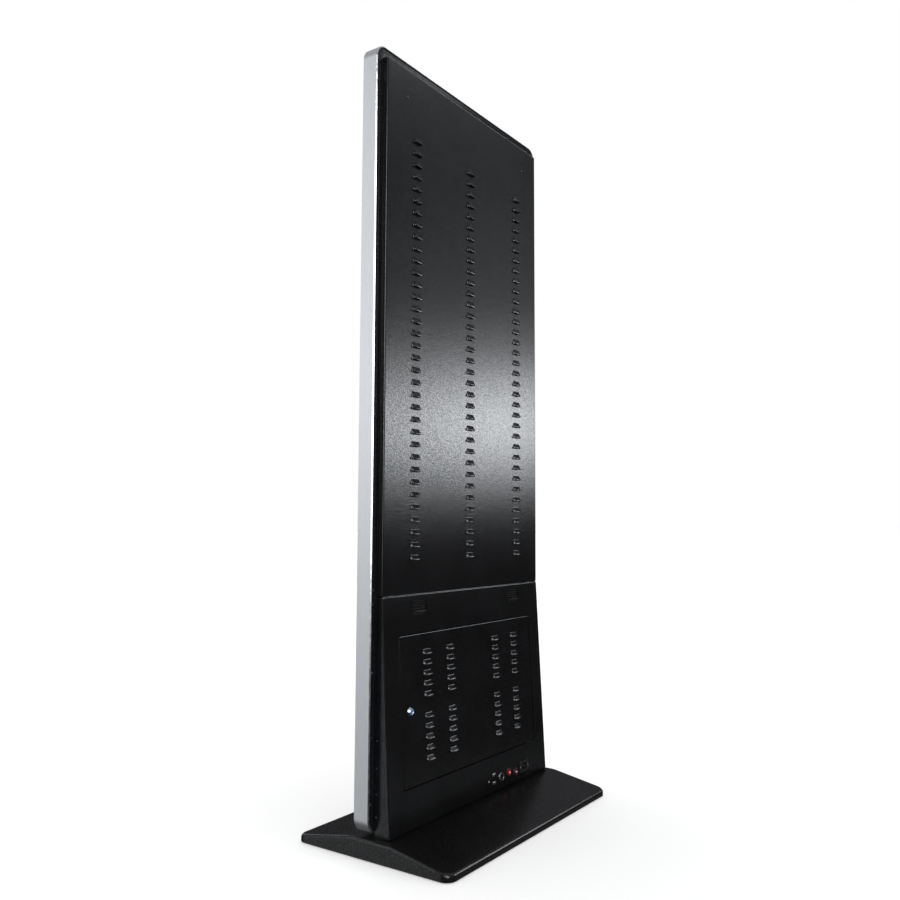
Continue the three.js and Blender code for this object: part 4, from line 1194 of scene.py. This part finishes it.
def smoothing_nodes():
    """Smooth shading with sharp edges kept, for the nodes that keep their CAD mesh."""
    group = bpy.data.node_groups.new("smooth_by_angle", "GeometryNodeTree")
    group.interface.new_socket("Geometry", in_out="INPUT", socket_type="NodeSocketGeometry")
    group.interface.new_socket("Geometry", in_out="OUTPUT", socket_type="NodeSocketGeometry")
    nodes, links = group.nodes, group.links
    start, end = nodes.new("NodeGroupInput"), nodes.new("NodeGroupOutput")
    angle = nodes.new("GeometryNodeInputMeshEdgeAngle")
    is_flat = nodes.new("FunctionNodeCompare")
    is_flat.data_type, is_flat.operation = "FLOAT", "LESS_THAN"
    is_flat.inputs[1].default_value = math.radians(32)
    faces, edges = nodes.new("GeometryNodeSetShadeSmooth"), nodes.new("GeometryNodeSetShadeSmooth")
    faces.domain, edges.domain = "FACE", "EDGE"
    links.new(angle.outputs["Unsigned Angle"], is_flat.inputs[0])
    links.new(start.outputs[0], faces.inputs["Geometry"])
    links.new(faces.outputs["Geometry"], edges.inputs["Geometry"])
    links.new(is_flat.outputs[0], edges.inputs["Shade Smooth"])
    links.new(edges.outputs["Geometry"], end.inputs[0])
    return group


SMOOTHING = smoothing_nodes()


def keep(node, material, edge):
    """A CAD node whose shape is right gets a finish and softened edges."""
    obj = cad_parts[node]
    obj.data.materials.clear()
    obj.data.materials.append(material)
    weld = obj.modifiers.new("weld", "WELD")
    weld.merge_threshold = 0.02 * MM
    flat = obj.modifiers.new("planar", "DECIMATE")
    flat.decimate_type = "DISSOLVE"
    flat.angle_limit = math.radians(0.5)
    if edge:
        bevel = obj.modifiers.new("edge", "BEVEL")
        bevel.width, bevel.segments = edge * MM, 2
        bevel.limit_method = "ANGLE"
        bevel.angle_limit = math.radians(40)
    shading = obj.modifiers.new("shading", "NODES")
    shading.node_group = SMOOTHING


def kept_nodes():
    """The finish of each CAD node that stays, with the width of its softened edges."""
    sides, levels = ("left", "right"), ("lower", "middle", "upper")
    finishes = [(f"cross_rail_{level}", STEEL, 0.4) for level in levels]
    for side in sides:
        finishes += [(f"upright_{side}", FRAME_COAT, 0.4), (f"speaker_basket_{side}", FRAME_COAT, 0)]
        finishes += [(f"speaker_cone_{side}", CONE, 0)]
        finishes += [(f"foot_{end}_{side}", RUBBER, 1.2) for end in ("front", "rear")]
    for level in ("lower", "upper"):
        finishes += [(f"hinge_bracket_{level}", ZINC, 0.25), (f"hinge_pin_{level}", STEEL, 0.2)]
        finishes += [(f"hinge_bush_{level}", NYLON, 0)]
    finishes += [(node, STEEL, 0.35) for node in ("base_plate", "lock_nut", "lock_cam")]
    finishes += [(node, ZINC, 0.35) for node in ("backlight_tray", "equipment_plate", "strike_plate")]
    finishes += [(node, CIRCUIT, 0.35) for node in ("display_driver_board", "touch_controller_board")]
    finishes += [(node, JACKET, 0) for node in ("mains_cable", "display_cable")]
    finishes += [
        ("chassis_flange", FRAME_COAT, 0.35),
        ("glass_gasket", RUBBER, 0.15),
        ("touch_sensor", DISPLAY, 0.15),
        ("lcd_panel", DISPLAY, 0.35),
        ("network_jack", BLACK_PLASTIC, 0.35),
    ]
    for node, material, edge in finishes:
        keep(node, material, edge)


# ---------------------------------------------------------------- the kiosk

upper_cover()
lower_cover()
door_panel()
tent_base()
trim_band()
glass_front()
flange_screws()
cover_screws()
wall_screws()
cover_hems()
door_lock()
push_button()
rocker_switch()
network_socket()
mains_socket()
usb_sockets()
status_lamp()
power_supply()
media_player()
board_parts(
    "display_driver_board",
    "driver",
    [
        (20, 60, 24, 24, 2.2),
        (60, 66, 16, 16, 1.6),
        (92, 30, 12, 20, 1.8),
        (24, 28, 10, 8, 1.4),
        (120, 60, 30, 12, 9),
    ],
    [(60, 36, 4.0, 9), (74, 36, 4.0, 9), (118, 88, 5.0, 11), (136, 88, 5.0, 11), (148, 30, 3.2, 7)],
)
board_parts(
    "touch_controller_board", "touch", [(34, 20, 12, 12, 1.4), (58, 22, 8, 6, 1.2)], [(20, 30, 2.6, 5)]
)
wiring()
kept_nodes()


# ---------------------------------------------------------------- floor, light and camera


def stage_plane(name, half_x, half_y, material):
    """A flat piece of the stage, centred on the origin."""
    corners = [(-half_x, -half_y, 0), (half_x, -half_y, 0), (half_x, half_y, 0), (-half_x, half_y, 0)]
    mesh = bpy.data.meshes.new(name)
    mesh.from_pydata(corners, [], [(0, 1, 2, 3)])
    mesh.materials.append(material)
    obj = bpy.data.objects.new(name, mesh)
    bpy.context.scene.collection.objects.link(obj)
    return obj


def pale_floor():
    paint = Paint("floor_paint", roughness=0.9, emission_color=(1.0, 1.0, 1.0), emission_strength=0.32)
    paint.set(base_color=paint.ramp(paint.noise(2.0, 3.0), (0.3, 0.86), (0.7, 0.88)))
    reach = 60.0
    floor = stage_plane("floor", reach, reach, paint.material)
    floor.visible_glossy = False
    floor.visible_shadow = False


EVEN = ((0.0, 0.0), (0.22, 1.0), (0.78, 1.0), (1.0, 0.0))


def soft_panel(name, middle, target, size, strength, stops, sides=EVEN, first_only=False):
    """A glowing panel that only reflections see. Its brightness follows stops from foot (0) to head (1) and
    sides from edge to edge. With first_only it is left out of reflections of reflections."""
    paint = Paint(f"{name}_glow", "Generated")
    axes = paint.axes()
    level = paint.math("MULTIPLY", paint.ramp(axes["Y"], *stops), paint.ramp(axes["X"], *sides))
    level = paint.math("MULTIPLY", level, strength)
    if first_only:
        bounces = paint.node("ShaderNodeLightPath").outputs["Ray Depth"]
        level = paint.math("MULTIPLY", level, paint.math("LESS_THAN", bounces, 1.5))
    paint.show(paint.node("ShaderNodeEmission", {"Color": (0.97, 1.0, 1.04), "Strength": level}).outputs[0])
    panel = stage_plane(name, size[0] / 2, size[1] / 2, paint.material)
    away = (Vector(target) - Vector(middle)).normalized()
    panel.matrix_world = Matrix.Translation(middle) @ away.to_track_quat("Z", "Y").to_matrix().to_4x4()
    panel.visible_camera = False
    panel.visible_shadow = False
    panel.visible_diffuse = False
    return panel


def studio_world():
    """White behind the object and for diffuse light, and dark with a faint gradient in reflections."""
    world = bpy.data.worlds.new("studio")
    bpy.context.scene.world = world
    world.use_nodes = True
    sky = Nodes(world.node_tree, "Generated")

    def background(colour):
        return sky.node("ShaderNodeBackground", {"Color": colour}).outputs[0]

    def either(test, no, yes):
        made = sky.node("ShaderNodeMixShader", {0: test, 1: no, 2: yes})
        return made.outputs[0]

    level = sky.math("MULTIPLY", sky.math("ADD", sky.axes()["Z"], 1.0), 0.5)
    greys = ((0.48, 0.015), (0.54, 0.04), (0.66, 0.09), (0.76, 0.15), (0.9, 0.35))
    faint = sky.ramp(level, *((position, (grey, grey, grey * 1.08)) for position, grey in greys))
    white = background((1.0, 1.0, 1.0))
    ray = sky.node("ShaderNodeLightPath").outputs
    reflected = either(ray["Is Glossy Ray"], white, background(faint))
    sky.show(either(ray["Is Camera Ray"], reflected, white))


def kiosk_camera():
    """The camera behind the kiosk, low and on its +X side. Angles are radians and places are metres."""
    yaw, pitch, roll = 0.9606, 0.0842, 0.0043
    forward = Vector((-math.sin(yaw) * math.cos(pitch), -math.cos(yaw) * math.cos(pitch), math.sin(pitch)))
    level_right = Vector((-math.cos(yaw), math.sin(yaw), 0.0))
    right = math.cos(roll) * level_right + math.sin(roll) * level_right.cross(forward)
    turn = Matrix((right, right.cross(forward), -forward)).transposed().to_4x4()
    data = bpy.data.cameras.new("photo_view")
    data.sensor_width, data.lens = 36.0, 35.04
    camera = bpy.data.objects.new("photo_view", data)
    camera.matrix_world = Matrix.Translation((1.927, 1.2984, 0.7486)) @ turn
    bpy.context.scene.collection.objects.link(camera)
    bpy.context.scene.camera = camera


def studio_panels():
    """The panels whose reflections draw the highlights. Places are metres."""
    rise = ((0.08, 0.0), (0.13, 0.005), (0.175, 0.07), (0.23, 0.62), (0.278, 1.0))
    fall = ((0.326, 0.68), (0.38, 0.18), (0.453, 0.060), (0.533, 0.044), (0.644, 0.026))
    stops = (*rise, *fall, (0.723, 0.036), (0.80, 0.045), (0.88, 0.15), (1.0, 0.15))
    across = ((0.24, 0.0), (0.32, 1.0), (0.5, 0.95), (0.7, 0.85), (1.0, 0.0))
    soft_panel("rear_panel", (-2.06, 1.41, 2.15), (0.0, 0.013, 2.15), (2.2, 3.9), 8.9, stops, across, True)

    foot = ((0.0, 0.32), (0.21, 0.36), (0.31, 0.44), (0.41, 0.53), (0.46, 0.63), (0.51, 0.76), (0.555, 0.88))
    head = ((0.605, 0.91), (0.70, 0.80), (0.80, 0.72), (0.904, 0.74), (1.0, 0.60))
    soft_panel("side_panel", (2.29, -1.64, 0.9), (0.38, -0.02, 0.9), (2.4, 5.4), 1.35, foot + head)

    stops = ((0.0, 0.4), (0.5, 1.0), (1.0, 0.5))
    soft_panel("edge_panel", (-2.5, -0.5, 3.8), (0.0, 0.0, 1.9), (1.8, 1.4), 1.9, stops)
    stops = ((0.0, 0.0), (0.2, 0.08), (0.45, 1.0), (1.0, 0.8))
    soft_panel("camera_panel", (2.6, 2.6, 1.5), (0.3, 0.0, 1.0), (3.0, 3.6), 6.0, stops)
    stops = ((0.0, 0.2), (0.5, 1.0), (1.0, 0.6))
    soft_panel("front_panel", (-0.5, -3.3, 1.7), (0.0, 0.0, 1.1), (2.0, 3.0), 1.4, stops)
    # the rear edge of the base looks down on this, in place of the pale floor
    stops = ((0.0, 1.0), (0.9, 1.0), (1.0, 0.4))
    soft_panel("foot_panel", (-1.1, 1.05, -0.42), (0.0, 0.25, -0.42), (1.8, 0.6), 0.09, stops)

    # soft light from above, which no reflection shows
    stops = ((0.0, 0.5), (1.0, 0.5))
    lamp = soft_panel("top_panel", (0.2, 0.4, 3.6), (0.0, 0.0, 0.5), (3.0, 3.0), 1.2, stops)
    lamp.visible_glossy = False
    lamp.visible_diffuse = True


pale_floor()
studio_world()
studio_panels()
kiosk_camera()
bpy.context.scene.view_settings.view_transform = "Standard"
